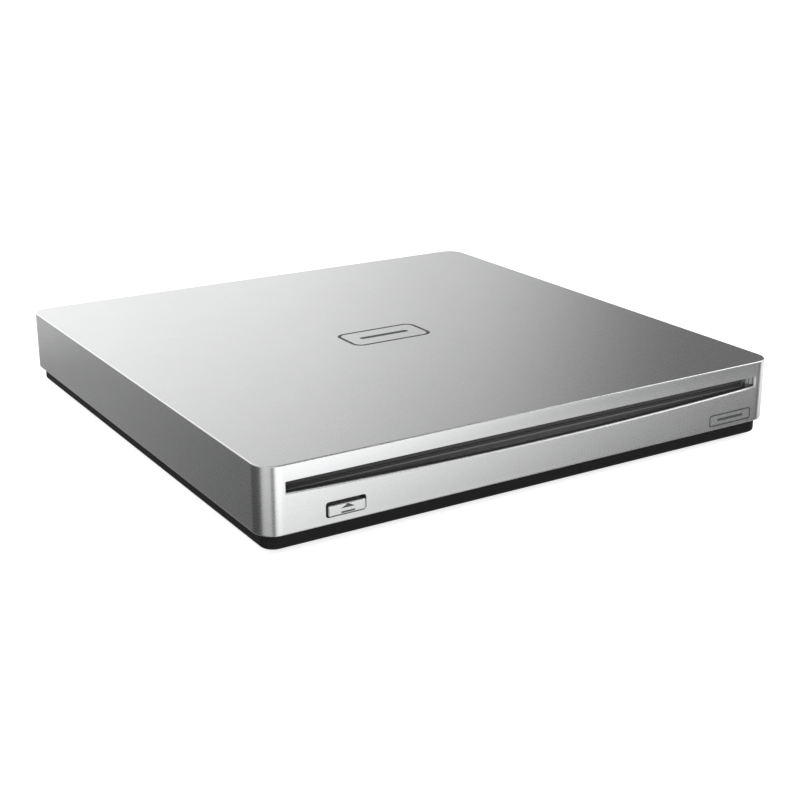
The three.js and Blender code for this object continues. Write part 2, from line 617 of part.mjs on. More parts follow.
// The stator and its bracket, under the frame.
function spindleMotor() {
  return post(DISC.x, DISC.y, 7.7, 8.9, 11.5, 28)
    .add(post(DISC.x, DISC.y, 8.5, 10.9, 8.8, 24))
    .subtract(post(DISC.x, DISC.y, 7, 12, 1.6, 14));
}

// The rotor cup with its platform, turning on a shaft in the stator.
function turntable() {
  const profile = [
    [0, 8.2],
    [1.4, 8.2],
    [1.4, 11.2],
    [11.8, 11.2],
    [11.8, 13.1],
    [7.6, 13.1],
    [7.6, 13.5],
    [0, 13.5],
  ].map(([x, y]) => new THREE.Vector2(x, y));
  return solid(new THREE.LatheGeometry(profile, 32).rotateX(Math.PI / 2));
}

// The rubber ring that the disc sits on.
function turntablePad() {
  const ring = [
    [8, 13.15],
    [11.4, 13.15],
    [11.4, 13.5],
    [8, 13.5],
    [8, 13.15],
  ].map(([x, y]) => new THREE.Vector2(x, y));
  return solid(new THREE.LatheGeometry(ring, 32).rotateX(Math.PI / 2));
}

// The centring boss with three sprung claws that catch the disc's hole.
function chuckingHub() {
  const profile = [
    [0, 13.55],
    [7.2, 13.55],
    [7.2, 14.6],
    [6, 15.2],
    [0, 15.2],
  ].map(([x, y]) => new THREE.Vector2(x, y));
  let hub = solid(new THREE.LatheGeometry(profile, 24).rotateX(Math.PI / 2));
  for (let i = 0; i < 3; i++) {
    const claw = new THREE.BoxGeometry(1.6, 2.4, 0.5).translate(7, 0, 14.75).rotateZ((i * 2 * Math.PI) / 3);
    hub = hub.add(solid(claw));
  }
  return hub;
}

// The sled that carries the laser optics, riding on both rods. Its own origin is the lens's axis.
function pickupBody() {
  let sled = box(-4, 9, -11.5, 10, 6.7, 11.3);
  for (const y of [MAIN_ROD_Y, AUX_ROD_Y].map((v) => v - DISC.y)) {
    const side = y < 0 ? [y - 1.7, -11] : [9.5, y + 1.7];
    sled = sled.add(box(0.5, 9, ...side, 6.8, 9.9));
    sled = sled.subtract(rodX(-5, 10, y, ROD_Z, 0.8 + RUN, 14));
  }
  return sled.subtract(box(-2.9, 4.9, -5.4, 5.4, 9, 12));
}

function traverse() {
  const level = new THREE.Group();
  add(level, "traverse_frame", traverseFrame(), ZINC);
  add(level, "spindle_motor", spindleMotor(), STEEL);
  const spin = new THREE.Group();
  spin.position.set(DISC.x, DISC.y, 0);
  add(spin, "turntable", turntable(), STEEL);
  add(spin, "turntable_pad", turntablePad(), RUBBER);
  add(spin, "chucking_hub", chuckingHub(), BLACK);
  level.add(spin);
  const rodEnds = [LIFT.axleX - 2.3, -11.6];
  add(level, "guide_rod_main", rodX(...rodEnds, MAIN_ROD_Y, ROD_Z, 0.75, 12), STEEL);
  add(level, "guide_rod_aux", rodX(...rodEnds, AUX_ROD_Y, ROD_Z, 0.75, 12), STEEL);
  const stepper = rodX(-10, 1.5, SCREW_Y, SCREW_Z, 2.2, 20);
  const stepperBore = rodX(-11, -4, SCREW_Y, SCREW_Z, 0.6, 12);
  add(level, "sled_motor", stepper.subtract(stepperBore), STEEL);
  const lead = threaded(45, 3, 0.95, 0.15, 8, 60, 0).add(rodX(20, 28, 0, 0, 0.45, 10));
  add(level, "lead_screw", lead, BRASS, [-34, SCREW_Y, SCREW_Z]);

  const sled = new THREE.Group();
  sled.position.set(LENS.inner, DISC.y, 0);
  add(sled, "pickup_body", pickupBody(), ZINC);
  const actuator = box(-2.6, 4.6, -5.1, 5.1, 9.3, 11.6).subtract(post(0, 0, 9.9, 13, 2.2, 16));
  add(sled, "lens_actuator", actuator, BLACK);
  const dome = [
    [0, 10.2],
    [1.9, 10.2],
    [1.9, 11.5],
    [1.2, 11.85],
    [0, 12],
  ].map(([x, y]) => new THREE.Vector2(x, y));
  add(sled, "objective_lens", solid(new THREE.LatheGeometry(dome, 16).rotateX(Math.PI / 2)), CLEAR);
  const nutY = SCREW_Y - DISC.y;
  const nut = box(2, 7, nutY - 1.6, nutY + 1.9, 6, 7.6).subtract(rodX(1, 8, nutY, SCREW_Z, 1.25, 14));
  add(sled, "screw_nut", nut, NATURAL);
  level.add(sled);

  // With no disc in the drive the traverse hangs down about its axle by TILT.
  level.position.set(-LIFT.axleX, 0, -LIFT.axleZ);
  const hung = new THREE.Group();
  hung.position.set(LIFT.axleX, 0, LIFT.axleZ);
  hung.rotation.y = TILT;
  hung.add(level);
  return hung;
}

// The two pins that the traverse swings on.
function traversePins() {
  const group = new THREE.Group();
  const { axleX, axleZ } = LIFT;
  add(group, "traverse_pin_front", rodY(-29.4, -22.8, axleX, axleZ, 1, 12), STEEL);
  add(group, "traverse_pin_rear", rodY(16.6, 23.4, axleX, axleZ, 1, 12), STEEL);
  return group;
}

root.add(enclosure(), frontParts(), electronics(), mechHousing(), loadingDrive());
add(root, "main_slider", mainSlider(), NATURAL);
root.add(discArms(), traverse(), traversePins());

export default root;
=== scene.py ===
"""Looks for a slot-loading external optical drive: a satin silver one-piece cover on a black inset base.

Lengths are in metres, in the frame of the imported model: +Z up, the slot faces -Y, the origin on the table
under the middle of the case. The outside nodes but the screws get a finer piece in their place. The screws
and the nodes inside keep their shape, and get a procedural material.
"""

import math

import bmesh
import bpy
from mathutils import Matrix, Vector, noise


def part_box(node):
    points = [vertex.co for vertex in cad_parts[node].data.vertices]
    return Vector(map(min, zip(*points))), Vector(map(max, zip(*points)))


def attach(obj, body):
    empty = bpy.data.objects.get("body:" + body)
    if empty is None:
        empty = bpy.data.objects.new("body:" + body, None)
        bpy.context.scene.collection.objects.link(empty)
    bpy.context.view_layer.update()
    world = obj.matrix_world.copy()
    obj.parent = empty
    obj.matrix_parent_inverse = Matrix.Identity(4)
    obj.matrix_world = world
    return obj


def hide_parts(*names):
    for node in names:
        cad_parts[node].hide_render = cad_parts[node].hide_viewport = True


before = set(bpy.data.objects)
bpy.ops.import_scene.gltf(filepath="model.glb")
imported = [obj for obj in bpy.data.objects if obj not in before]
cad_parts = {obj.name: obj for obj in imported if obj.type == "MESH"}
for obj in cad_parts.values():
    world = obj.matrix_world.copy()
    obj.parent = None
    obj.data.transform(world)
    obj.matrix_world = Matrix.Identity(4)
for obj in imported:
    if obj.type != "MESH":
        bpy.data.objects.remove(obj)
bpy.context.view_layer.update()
MM = 0.001
SEED = 7

# ---------------------------------------------------------------- sizes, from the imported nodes


def span(node):
    """A node's lowest and highest corners at rest, as vectors."""
    low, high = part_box(node)
    return Vector(low), Vector(high)


COVER_LOW, COVER_HIGH = span("top_cover")
TRAY_LOW, TRAY_HIGH = span("base_tray")
BUTTON_LOW, BUTTON_HIGH = span("eject_button")
GUIDE_LOW, GUIDE_HIGH = span("light_pipe")
USB_LOW, USB_HIGH = span("usb_c_socket")
JACK_LOW, JACK_HIGH = span("dc_jack")

# the cover
CORNER = 4.5 * MM
WALL = 1.5 * MM
LID = 1.3 * MM
EDGE = 0.3 * MM
FRONT = COVER_LOW.y
REAR = COVER_HIGH.y
PRINT_DEEP = 0.05 * MM

# the slot: half its width, its top, its lower edge at the ends and in the middle, and what lies behind it
SLOT_HALF = 61.12 * MM
SLOT_TOP = 15.5 * MM
SLOT_END = 13.1 * MM
SLOT_MIDDLE = 11.8 * MM
SLOT_ROUND = 0.2 * MM
SLOT_CHAMFER = 0.26 * MM
SLOT_LIP = 0.7 * MM
RECESS_HALF = 62.9 * MM
RECESS_LOW = 10.9 * MM
RECESS_TOP = 16.6 * MM

# the light guide at the slot's right end: its foot's height, and its leg's near left corner in X and Y.
# The sill in front of the foot falls from SILL_START to SILL_END.
GUIDE_FOOT = 12 * MM
GUIDE_LEG = (60.2 * MM, -63.7 * MM)
SILL_START = 14 * MM
SILL_END = 13.35 * MM

# the eject key and its window
BUTTON_X = (BUTTON_LOW.x + BUTTON_HIGH.x) / 2
BUTTON_Z = (BUTTON_LOW.z + BUTTON_HIGH.z) / 2
BUTTON_WIDE = 8.2 * MM
BUTTON_TALL = 2.4 * MM
BUTTON_GAP = 0.4 * MM
KEY_DROP = 0.12 * MM
KEY_TRIM = 0.12 * MM
KEY_SPREAD = 0.12 * MM
KEY_FACE = BUTTON_LOW.y + 0.01 * MM

# the rear sockets
USB_X = (USB_LOW.x + USB_HIGH.x) / 2
USB_Z = (USB_LOW.z + USB_HIGH.z) / 2
USB_WINDOW = (4.8 * MM, 1.95 * MM)
USB_DEEP = 1.4 * MM
JACK_X = (JACK_LOW.x + JACK_HIGH.x) / 2
JACK_Z = 8.9 * MM
JACK_WINDOW = 2.75 * MM
JACK_BORE = 2.15 * MM
TONGUE_END = REAR - 0.9 * MM

# the base
LEDGE_STEP = 0.45 * MM
LEDGE_TOP = 4.3 * MM
TRAY_FLOOR = 1.75 * MM
FEET = ("foot_front_left", "foot_front_right", "foot_rear_left", "foot_rear_right")
CASE_SCREWS = tuple(f"case_screw_{where[5:]}" for where in FEET)
LABEL = ((-34 * MM, -26 * MM), (34 * MM, 8 * MM))
VENT_COUNT = 5
VENT_START = 22 * MM
VENT_PITCH = 3 * MM
VENT_HALF = 18 * MM

# ---------------------------------------------------------------- meshes


def link(name, mesh):
    """A new object for a mesh, in the scene."""
    obj = bpy.data.objects.new(name, mesh)
    bpy.context.scene.collection.objects.link(obj)
    return obj


def object_from(name, bm, smooth=True):
    """A new object from a bmesh, its normals pointing out."""
    bmesh.ops.recalc_face_normals(bm, faces=bm.faces)
    for face in bm.faces:
        face.smooth = smooth
    mesh = bpy.data.meshes.new(name)
    bm.to_mesh(mesh)
    bm.free()
    return link(name, mesh)


def round_rect(low_u, low_v, high_u, high_v, radius, steps=12):
    """The corner points, anticlockwise, of a rectangle with round corners."""
    centres = [
        (high_u - radius, low_v + radius, -90),
        (high_u - radius, high_v - radius, 0),
        (low_u + radius, high_v - radius, 90),
        (low_u + radius, low_v + radius, 180),
    ]
    points = []
    for u, v, start in centres:
        for i in range(steps + 1):
            a = math.radians(start + 90 * i / steps)
            points.append((u + radius * math.cos(a), v + radius * math.sin(a)))
    return points


def case_outline(inset, steps=20):
    """The case's own outline, drawn in by inset on every side."""
    x = COVER_HIGH.x - inset
    y = REAR - inset
    return round_rect(-x, -y, x, y, max(CORNER - inset, 0.5 * MM), steps)


def loft(bm, rings):
    """Skins a stack of rings of equal length, and closes both ends."""
    made = [[bm.verts.new(p) for p in ring] for ring in rings]
    count = len(made[0])
    for lower, upper in zip(made, made[1:]):
        for i in range(count):
            j = (i + 1) % count
            bm.faces.new((lower[i], lower[j], upper[j], upper[i]))
    bm.faces.new(list(reversed(made[0])))
    bm.faces.new(made[-1])


def prism(bm, points, low, high, axis="Z"):
    """An outline raised along Z, or, with axis Y, an outline in X and Z reaching from low to high in Y."""
    if axis == "Z":
        loft(bm, [[(u, v, w) for u, v in points] for w in (low, high)])
    else:
        loft(bm, [[(u, w, v) for u, v in points] for w in (high, low)])


def block(bm, low, high):
    """A box between two corners."""
    prism(bm, [(low[0], low[1]), (high[0], low[1]), (high[0], high[1]), (low[0], high[1])], low[2], high[2])


def disc_points(x, y, radius, steps):
    """Points round a circle."""
    turn = 2 * math.pi / steps
    return [(x + radius * math.cos(i * turn), y + radius * math.sin(i * turn)) for i in range(steps)]


def lathe(bm, profile, x, y, steps=48):
    """A solid of revolution about the vertical line at (x, y). The profile starts and ends on that line."""
    rings = [[(px, py, z) for px, py in disc_points(x, y, r, steps)] for r, z in profile if r > 1e-7]
    loft(bm, rings)


def evaluated(obj):
    """Applies an object's modifiers to its mesh."""
    graph = bpy.context.evaluated_depsgraph_get()
    mesh = bpy.data.meshes.new_from_object(obj.evaluated_get(graph))
    old = obj.data
    obj.modifiers.clear()
    obj.data = mesh
    bpy.data.meshes.remove(old)


def boolean(obj, build, operation):
    """Cuts from, or joins to, an object the solids that build draws into a bmesh."""
    bm = bmesh.new()
    build(bm)
    tool = object_from("tool", bm)
    step = obj.modifiers.new("step", "BOOLEAN")
    step.operation = operation
    step.solver = "EXACT"
    step.use_self = True
    step.object = tool
    evaluated(obj)
    mesh = tool.data
    bpy.data.objects.remove(tool)
    bpy.data.meshes.remove(mesh)


def cut(obj, build):
    """Takes the solids that build draws away from an object."""
    boolean(obj, build, "DIFFERENCE")


def join(obj, build):
    """Adds the solids that build draws to an object."""
    boolean(obj, build, "UNION")


def soften(obj, width, segments=3, angle=35):
    """Rounds every edge sharper than angle, and keeps the flats flat."""
    bevel = obj.modifiers.new("bevel", "BEVEL")
    bevel.width = width
    bevel.segments = segments
    bevel.limit_method = "ANGLE"
    bevel.angle_limit = math.radians(angle)
    bevel.use_clamp_overlap = False
    bevel.miter_outer = "MITER_ARC"
    bevel.harden_normals = True
    evaluated(obj)


def soften_by(obj, width_at, widest, segments=4, angle=35):
    """Rounds each sharp edge to its own width: width_at takes the middle of an edge, and gives its width."""
    bm = bmesh.new()
    bm.from_mesh(obj.data)
    weight = bm.edges.layers.float.new("bevel_weight_edge")
    for edge in bm.edges:
        if len(edge.link_faces) == 2 and edge.calc_face_angle() > math.radians(angle):
            width = width_at((edge.verts[0].co + edge.verts[1].co) / 2)
            edge[weight] = width / widest
            edge.smooth = width > 0
    bm.to_mesh(obj.data)
    bm.free()
    bevel = obj.modifiers.new("bevel", "BEVEL")
    bevel.width = widest
    bevel.segments = segments
    bevel.limit_method = "WEIGHT"
    bevel.use_clamp_overlap = False
    bevel.miter_outer = "MITER_ARC"
    bevel.harden_normals = True
    evaluated(obj)


# ---------------------------------------------------------------- material nodes


class Surface:
    """A Principled material under construction, with short calls for the nodes that it needs."""

    def __init__(self, name, color, roughness, metallic=0.0):
        self.made = bpy.data.materials.new(name)
        self.made.use_nodes = True
        self.tree = self.made.node_tree
        self.shader = self.tree.nodes["Principled BSDF"]
        self.color = color
        self.put("Base Color", (*color, 1))
        self.put("Roughness", roughness)
        self.put("Metallic", metallic)
        self.place = self.node("ShaderNodeTexCoord").outputs["Object"]
        self.height = None

    def node(self, kind, **values):
        made = self.tree.nodes.new(kind)
        for key, value in values.items():
            setattr(made, key, value)
        return made

    def put(self, socket, value):
        self.shader.inputs[socket].default_value = value

    def wire(self, source, target):
        self.tree.links.new(source, target)

    def stretched(self, x, y, z):
        """Object coordinates with each axis multiplied."""
        mapping = self.node("ShaderNodeMapping")
        mapping.inputs["Scale"].default_value = (x, y, z)
        self.wire(self.place, mapping.inputs["Vector"])
        return mapping.outputs["Vector"]

    def noise(self, size, detail=2.0, rough=0.5, place=None):
        """Noise whose features are about size across."""
        made = self.node("ShaderNodeTexNoise")
        made.inputs["Scale"].default_value = 1 / size
        made.inputs["Detail"].default_value = detail
        made.inputs["Roughness"].default_value = rough
        self.wire(place or self.place, made.inputs["Vector"])
        return made.outputs["Fac"]

    def remap(self, source, low, high, new_low, new_high, smooth=False):
        """Maps low..high to new_low..new_high."""
        made = self.node("ShaderNodeMapRange")
        made.interpolation_type = "SMOOTHSTEP" if smooth else "LINEAR"
        limits = {"From Min": low, "From Max": high, "To Min": new_low, "To Max": new_high}
        for socket, value in limits.items():
            made.inputs[socket].default_value = value
        self.wire(source, made.inputs["Value"])
        return made.outputs["Result"]

    def math(self, operation, a, b):
        """One sum on two values, each a number or a socket."""
        made = self.node("ShaderNodeMath", operation=operation)
        for i, value in enumerate((a, b)):
            if isinstance(value, (int, float)):
                made.inputs[i].default_value = value
            else:
                self.wire(value, made.inputs[i])
        return made.outputs[0]

    def tint(self, factor, other):
        """Mixes the colour so far with another by factor."""
        mix = self.node("ShaderNodeMix", data_type="RGBA")
        linked = self.shader.inputs["Base Color"].links
        if linked:
            self.wire(linked[0].from_socket, mix.inputs["A"])
        else:
            mix.inputs["A"].default_value = (*self.color, 1)
        mix.inputs["B"].default_value = (*other, 1)
        self.wire(factor, mix.inputs["Factor"])
        self.wire(mix.outputs["Result"], self.shader.inputs["Base Color"])

    def bands(self, stops):
        """Greys the surface by height above the table, from (height, grey) pairs."""
        low, high = stops[0][0], stops[-1][0]
        split = self.node("ShaderNodeSeparateXYZ")
        self.wire(self.place, split.inputs[0])
        ramp = self.node("ShaderNodeValToRGB")
        self.wire(self.remap(split.outputs["Z"], low, high, 0, 1), ramp.inputs[0])
        elements = ramp.color_ramp.elements
        elements.remove(elements[-1])
        for i, (height, level) in enumerate(stops):
            element = elements[0] if i == 0 else elements.new((height - low) / (high - low))
            element.color = (level, level, level, 1)
        self.wire(ramp.outputs["Color"], self.shader.inputs["Base Color"])

    def roughness(self, source):
        self.wire(source, self.shader.inputs["Roughness"])

    def bump(self, source, depth, strength=1.0):
        """Adds a height of the given depth in metres."""
        made = self.node("ShaderNodeBump")
        made.inputs["Distance"].default_value = depth
        made.inputs["Strength"].default_value = strength
        self.wire(source, made.inputs["Height"])
        if self.height is not None:
            self.wire(self.height, made.inputs["Normal"])
        self.height = made.outputs["Normal"]
        self.wire(self.height, self.shader.inputs["Normal"])


def silver():
    """Bead-blasted aluminium: a fine grain that glints, on a satin sheen."""
    s = Surface("silver", (0.83, 0.835, 0.84), 0.27, 1.0)
    grain = s.noise(0.17 * MM, 3.0, 0.6)
    cloud = s.noise(9 * MM, 2.0, 0.5)
    s.tint(s.remap(grain, 0.35, 0.7, 0, 0.26), (0.66, 0.665, 0.67))
    s.tint(s.remap(cloud, 0.3, 0.7, 0, 0.03), (0.72, 0.725, 0.735))
    fine = s.remap(grain, 0.3, 0.7, 0.25, 0.33)
    broad = s.remap(cloud, 0.3, 0.7, -0.005, 0.005)
    s.roughness(s.math("ADD", fine, broad))
    s.bump(grain, 0.004 * MM, 0.5)
    return s.made


def matt_black():
    """A black moulding with a fine spark-eroded grain."""
    s = Surface("matt_black", (0.006, 0.006, 0.0061), 0.5)
    s.put("Specular IOR Level", 0.12)
    grain = s.noise(0.25 * MM, 2.0, 0.6)
    s.tint(s.remap(grain, 0.35, 0.7, 0, 0.5), (0.021, 0.021, 0.0212))
    s.roughness(s.remap(grain, 0.3, 0.7, 0.42, 0.6))
    s.bump(grain, 0.02 * MM, 0.6)
    return s.made


def charcoal():
    """A dark grey moulding, duller than the base."""
    s = Surface("charcoal", (0.07, 0.07, 0.071), 0.6)
    grain = s.noise(0.2 * MM, 2.0, 0.6)
    s.tint(s.remap(grain, 0.35, 0.7, 0, 0.5), (0.095, 0.095, 0.097))
    s.roughness(s.remap(grain, 0.3, 0.7, 0.52, 0.68))
    s.bump(grain, 0.015 * MM, 0.5)
    return s.made


def rubber():
    """Matt black rubber, a little dusty."""
    s = Surface("rubber", (0.016, 0.016, 0.016), 0.85)
    dust = s.noise(1.2 * MM, 4.0, 0.6)
    s.tint(s.remap(dust, 0.4, 0.75, 0, 0.6), (0.05, 0.049, 0.047))
    s.roughness(s.remap(dust, 0.3, 0.7, 0.78, 0.93))
    s.bump(s.noise(0.3 * MM, 2.0), 0.02 * MM, 0.5)
    return s.made


def felt(name, color, highlight, bands=None):
    """Short black pile: a fibrous fleck, a soft sheen, and, where bands are given, greys by height that
    paint in light: a painted highlight and painted lightening.
    """
    s = Surface(name, color, 0.95)
    if bands:
        s.bands(bands)
    fibre = s.noise(0.12 * MM, 4.0, 0.7, s.stretched(0.35, 1, 1))
    s.tint(s.remap(fibre, 0.4, 0.75, 0, 0.45), highlight)
    s.put("Sheen Weight", 0.25)
    s.put("Sheen Roughness", 0.6)
    s.bump(fibre, 0.06 * MM, 0.9)
    return s.made


def ink():
    """Dark grey screen print."""
    s = Surface("ink", (0.05, 0.05, 0.052), 0.5)
    s.tint(s.remap(s.noise(0.1 * MM), 0.4, 0.7, 0, 0.4), (0.09, 0.09, 0.092))
    return s.made


def frosted():
    """A frosted clear moulding with drawn flow lines down it."""
    s = Surface("frosted", (0.42, 0.43, 0.44), 0.35)
    lines = s.noise(0.35 * MM, 3.0, 0.6, s.stretched(1, 1, 0.12))
    s.tint(s.remap(lines, 0.4, 0.65, 0, 0.8), (0.09, 0.09, 0.095))
    s.roughness(s.remap(lines, 0.3, 0.7, 0.25, 0.5))
    s.put("Transmission Weight", 0.15)
    s.bump(lines, 0.03 * MM, 0.6)
    return s.made


def pressed_steel():
    """Zinc-plated sheet: rolled along X, with a faint spangle."""
    s = Surface("pressed_steel", (0.62, 0.63, 0.64), 0.35, 1.0)
    rolled = s.noise(0.4 * MM, 3.0, 0.6, s.stretched(0.05, 1, 1))
    spangle = s.noise(4 * MM, 2.0)
    s.tint(s.remap(spangle, 0.35, 0.7, 0, 0.35), (0.5, 0.51, 0.53))
    s.roughness(s.remap(rolled, 0.3, 0.7, 0.28, 0.45))
    s.bump(rolled, 0.004 * MM, 0.4)
    return s.made


def machined(name, color, other, rough):
    """Turned or ground metal with fine tool marks."""
    s = Surface(name, color, rough, 1.0)
    marks = s.noise(0.15 * MM, 2.0, 0.5)
    s.tint(s.remap(marks, 0.35, 0.7, 0, 0.4), other)
    s.roughness(s.remap(marks, 0.3, 0.7, rough - 0.06, rough + 0.1))
    s.bump(marks, 0.003 * MM, 0.4)
    return s.made


def die_cast():
    """Dull cast zinc with a granular skin."""
    s = Surface("die_cast", (0.42, 0.425, 0.43), 0.5, 1.0)
    skin = s.noise(0.5 * MM, 4.0, 0.65)
    s.tint(s.remap(skin, 0.35, 0.7, 0, 0.5), (0.32, 0.325, 0.335))
    s.roughness(s.remap(skin, 0.3, 0.7, 0.42, 0.6))
    s.bump(skin, 0.02 * MM, 0.5)
    return s.made


def natural_plastic():
    """Unpigmented gear plastic, slightly waxy."""
    s = Surface("natural_plastic", (0.72, 0.69, 0.61), 0.42)
    wax = s.noise(2 * MM, 3.0)
    s.tint(s.remap(wax, 0.35, 0.7, 0, 0.4), (0.64, 0.6, 0.51))
    s.put("Subsurface Weight", 0.08)
    s.put("Subsurface Scale", 0.5 * MM)
    s.roughness(s.remap(wax, 0.3, 0.7, 0.36, 0.5))
    return s.made


def circuit_board():
    """Green solder mask over a hint of copper traces."""
    s = Surface("circuit_board", (0.015, 0.11, 0.045), 0.35)
    cells = s.node("ShaderNodeTexVoronoi", feature="DISTANCE_TO_EDGE", distance="MANHATTAN")
    cells.inputs["Scale"].default_value = 1 / (2.2 * MM)
    s.wire(s.place, cells.inputs["Vector"])
    traces = s.remap(cells.outputs["Distance"], 0.03, 0.08, 1, 0, True)
    s.tint(traces, (0.03, 0.19, 0.08))
    s.bump(traces, 0.02 * MM, 0.6)
    s.roughness(s.remap(s.noise(1 * MM), 0.3, 0.7, 0.28, 0.42))
    return s.made


def chip_epoxy():
    """Moulded black chip package."""
    s = Surface("chip_epoxy", (0.022, 0.022, 0.023), 0.6)
    grain = s.noise(0.15 * MM, 3.0)
    s.tint(s.remap(grain, 0.35, 0.7, 0, 0.5), (0.04, 0.04, 0.042))
    s.bump(grain, 0.01 * MM, 0.5)
    return s.made


def blackened_steel():
    """Black-oxide screw steel, worn a little bright on its high spots."""
    s = Surface("blackened_steel", (0.08, 0.08, 0.085), 0.4, 1.0)
    worn = s.noise(0.5 * MM, 4.0, 0.6)
    s.tint(s.remap(worn, 0.5, 0.75, 0, 0.6), (0.3, 0.3, 0.31))
    s.roughness(s.remap(worn, 0.3, 0.7, 0.3, 0.5))
    return s.made


def coated_lens():
    """Clear lens moulding with a faint blue coating."""
    s = Surface("coated_lens", (0.72, 0.82, 0.95), 0.05)
    s.put("Transmission Weight", 0.9)
    s.put("IOR", 1.5)
    s.roughness(s.remap(s.noise(1 * MM), 0.3, 0.7, 0.03, 0.08))
    return s.made


def label_film():
    """Matt silver-grey film, for the blank rating label."""
    s = Surface("label_film", (0.5, 0.505, 0.51), 0.5)
    fleck = s.noise(0.4 * MM, 3.0)
    s.tint(s.remap(fleck, 0.35, 0.7, 0, 0.3), (0.42, 0.425, 0.43))
    s.roughness(s.remap(fleck, 0.3, 0.7, 0.42, 0.58))
    return s.made


SILVER = silver()
BLACK = matt_black()
CHARCOAL = charcoal()
RUBBER = rubber()
FELT_UPPER = felt("felt_upper", (0.03, 0.03, 0.0305), (0.055, 0.055, 0.056))

# The lower lip's grey by height, painted light: a painted highlight along its ridge, and below it a grey
# painted lighter towards its foot against the shade from the cover's wall, so that it is darker above the
# ridge than below. Above the ridge it keeps the felt's own dark grey.
LIP_PAINTED_LIGHT = (
    (10.9 * MM, 0.3),
    (11.7 * MM, 0.3),
    (12.2 * MM, 0.08),
    (12.82 * MM, 0.06),
    (12.93 * MM, 0.2),
    (13.07 * MM, 0.2),
    (13.15 * MM, 0.03),
    (13.4 * MM, 0.026),
    (13.76 * MM, 0.026),
)
# the lower lip takes its painted highlight and painted lightening from these greys
FELT_LOWER = felt("felt_lower", (0.03, 0.03, 0.031), (0.065, 0.065, 0.067), LIP_PAINTED_LIGHT)
INK = ink()
FROSTED = frosted()
STEEL = pressed_steel()
GROUND = machined("ground_steel", (0.66, 0.67, 0.68), (0.55, 0.56, 0.58), 0.24)
BRASS = machined("turned_brass", (0.72, 0.55, 0.26), (0.6, 0.44, 0.18), 0.28)
ZINC = die_cast()
NATURAL = natural_plastic()
BOARD = circuit_board()
CHIP = chip_epoxy()
SCREWS = blackened_steel()
LENS = coated_lens()
FILM = label_film()

# ---------------------------------------------------------------- dressing the pieces


def dress(obj, look, body, slot, *nodes):
    """Gives a new piece its material and body, and hides the nodes that it stands for. Its slot is not used.
    """
    obj.data.materials.clear()
    obj.data.materials.append(look)
    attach(obj, body)
    if nodes:
        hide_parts(*nodes)
    return obj


# ---------------------------------------------------------------- the silver cover


def slot_points(grow=0.0, slope=0.0, steps=40):
    """The slot's outline in X and Z: a straight top, and a lower edge bowed down in the middle.

    grow opens it on every side, and slope lowers its lower edge and spreads its ends.
    """
    half = SLOT_HALF + grow + slope - SLOT_ROUND
    sag = SLOT_END - SLOT_MIDDLE
    points = []
    for i in range(steps + 1):
        t = -1 + 2 * i / steps
        points.append((t * half, SLOT_MIDDLE - grow - slope + sag * t * t))
    low = SLOT_END - grow - slope + SLOT_ROUND
    high = SLOT_TOP + grow - SLOT_ROUND
    corners = ((1, low, -90, 1, 5), (1, high, 0, 0, 5), (-1, high, 90, 0, 5), (-1, low, 180, 0, 4))
    for side, level, start, first, last in corners:
        for i in range(first, last):
            a = math.radians(start + 22.5 * i)
            points.append((side * half + SLOT_ROUND * math.cos(a), level + SLOT_ROUND * math.sin(a)))
    return points


def window_points(steps=8):
    """The key's window in X and Z."""
    half_u = BUTTON_WIDE / 2 + BUTTON_GAP
    half_v = BUTTON_TALL / 2 + BUTTON_GAP
    low = (BUTTON_X - half_u, BUTTON_Z - half_v)
    high = (BUTTON_X + half_u, BUTTON_Z + half_v)
    return round_rect(*low, *high, 0.6 * MM, steps)


def key_points(steps=8):
    """The eject key's outline in X and Z: low in its window, short at its top and spread at its sides."""
    half_u = BUTTON_WIDE / 2
    half_v = BUTTON_TALL / 2
    low = (BUTTON_X - half_u - KEY_SPREAD, BUTTON_Z - half_v - KEY_DROP)
    high = (BUTTON_X + half_u + KEY_SPREAD, BUTTON_Z + half_v - KEY_DROP - KEY_TRIM)
    return round_rect(*low, *high, 0.42 * MM, steps)


def band(bm, outer, inner, low, high, axis):
    """A raised band between an outer and an inner outline of as many points."""

    def at(point, level):
        return (point[0], point[1], level) if axis == "Z" else (point[0], level, point[1])

    rings = []
    for shape, level in ((outer, low), (outer, high), (inner, high), (inner, low)):
        rings.append([bm.verts.new(at(point, level)) for point in shape])
    count = len(outer)
    for one, other in zip(rings, rings[1:] + rings[:1]):
        for i in range(count):
            j = (i + 1) % count
            bm.faces.new((one[i], one[j], other[j], other[i]))


def slot_sign(bm, middle, half, line, low, high, axis="Z"):
    """A plain sign for a slot: a bar inside a rounded frame."""
    (u, v), (half_u, half_v) = middle, half
    corner = half_v * 0.45
    outer = round_rect(u - half_u, v - half_v, u + half_u, v + half_v, corner)
    slim_u, slim_v = half_u - line, half_v - line
    inner = round_rect(u - slim_u, v - slim_v, u + slim_u, v + slim_v, corner - line * 0.9)
    band(bm, outer, inner, low, high, axis)
    bar_u, bar_v = half_u * 0.62, line * 0.9
    prism(bm, round_rect(u - bar_u, v - bar_v, u + bar_u, v + bar_v, bar_v * 0.98, 6), low, high, axis)


def lid_sign(bm, low, high):
    """The sign in the middle of the lid."""
    slot_sign(bm, (0, -1.5 * MM), (11 * MM, 5.6 * MM), 0.85 * MM, low, high)


def front_sign(bm, low, high):
    """The small sign at the right end of the front."""
    slot_sign(bm, (54 * MM, 6.9 * MM), (6.4 * MM, 1.45 * MM), 0.36 * MM, low, high, "Y")


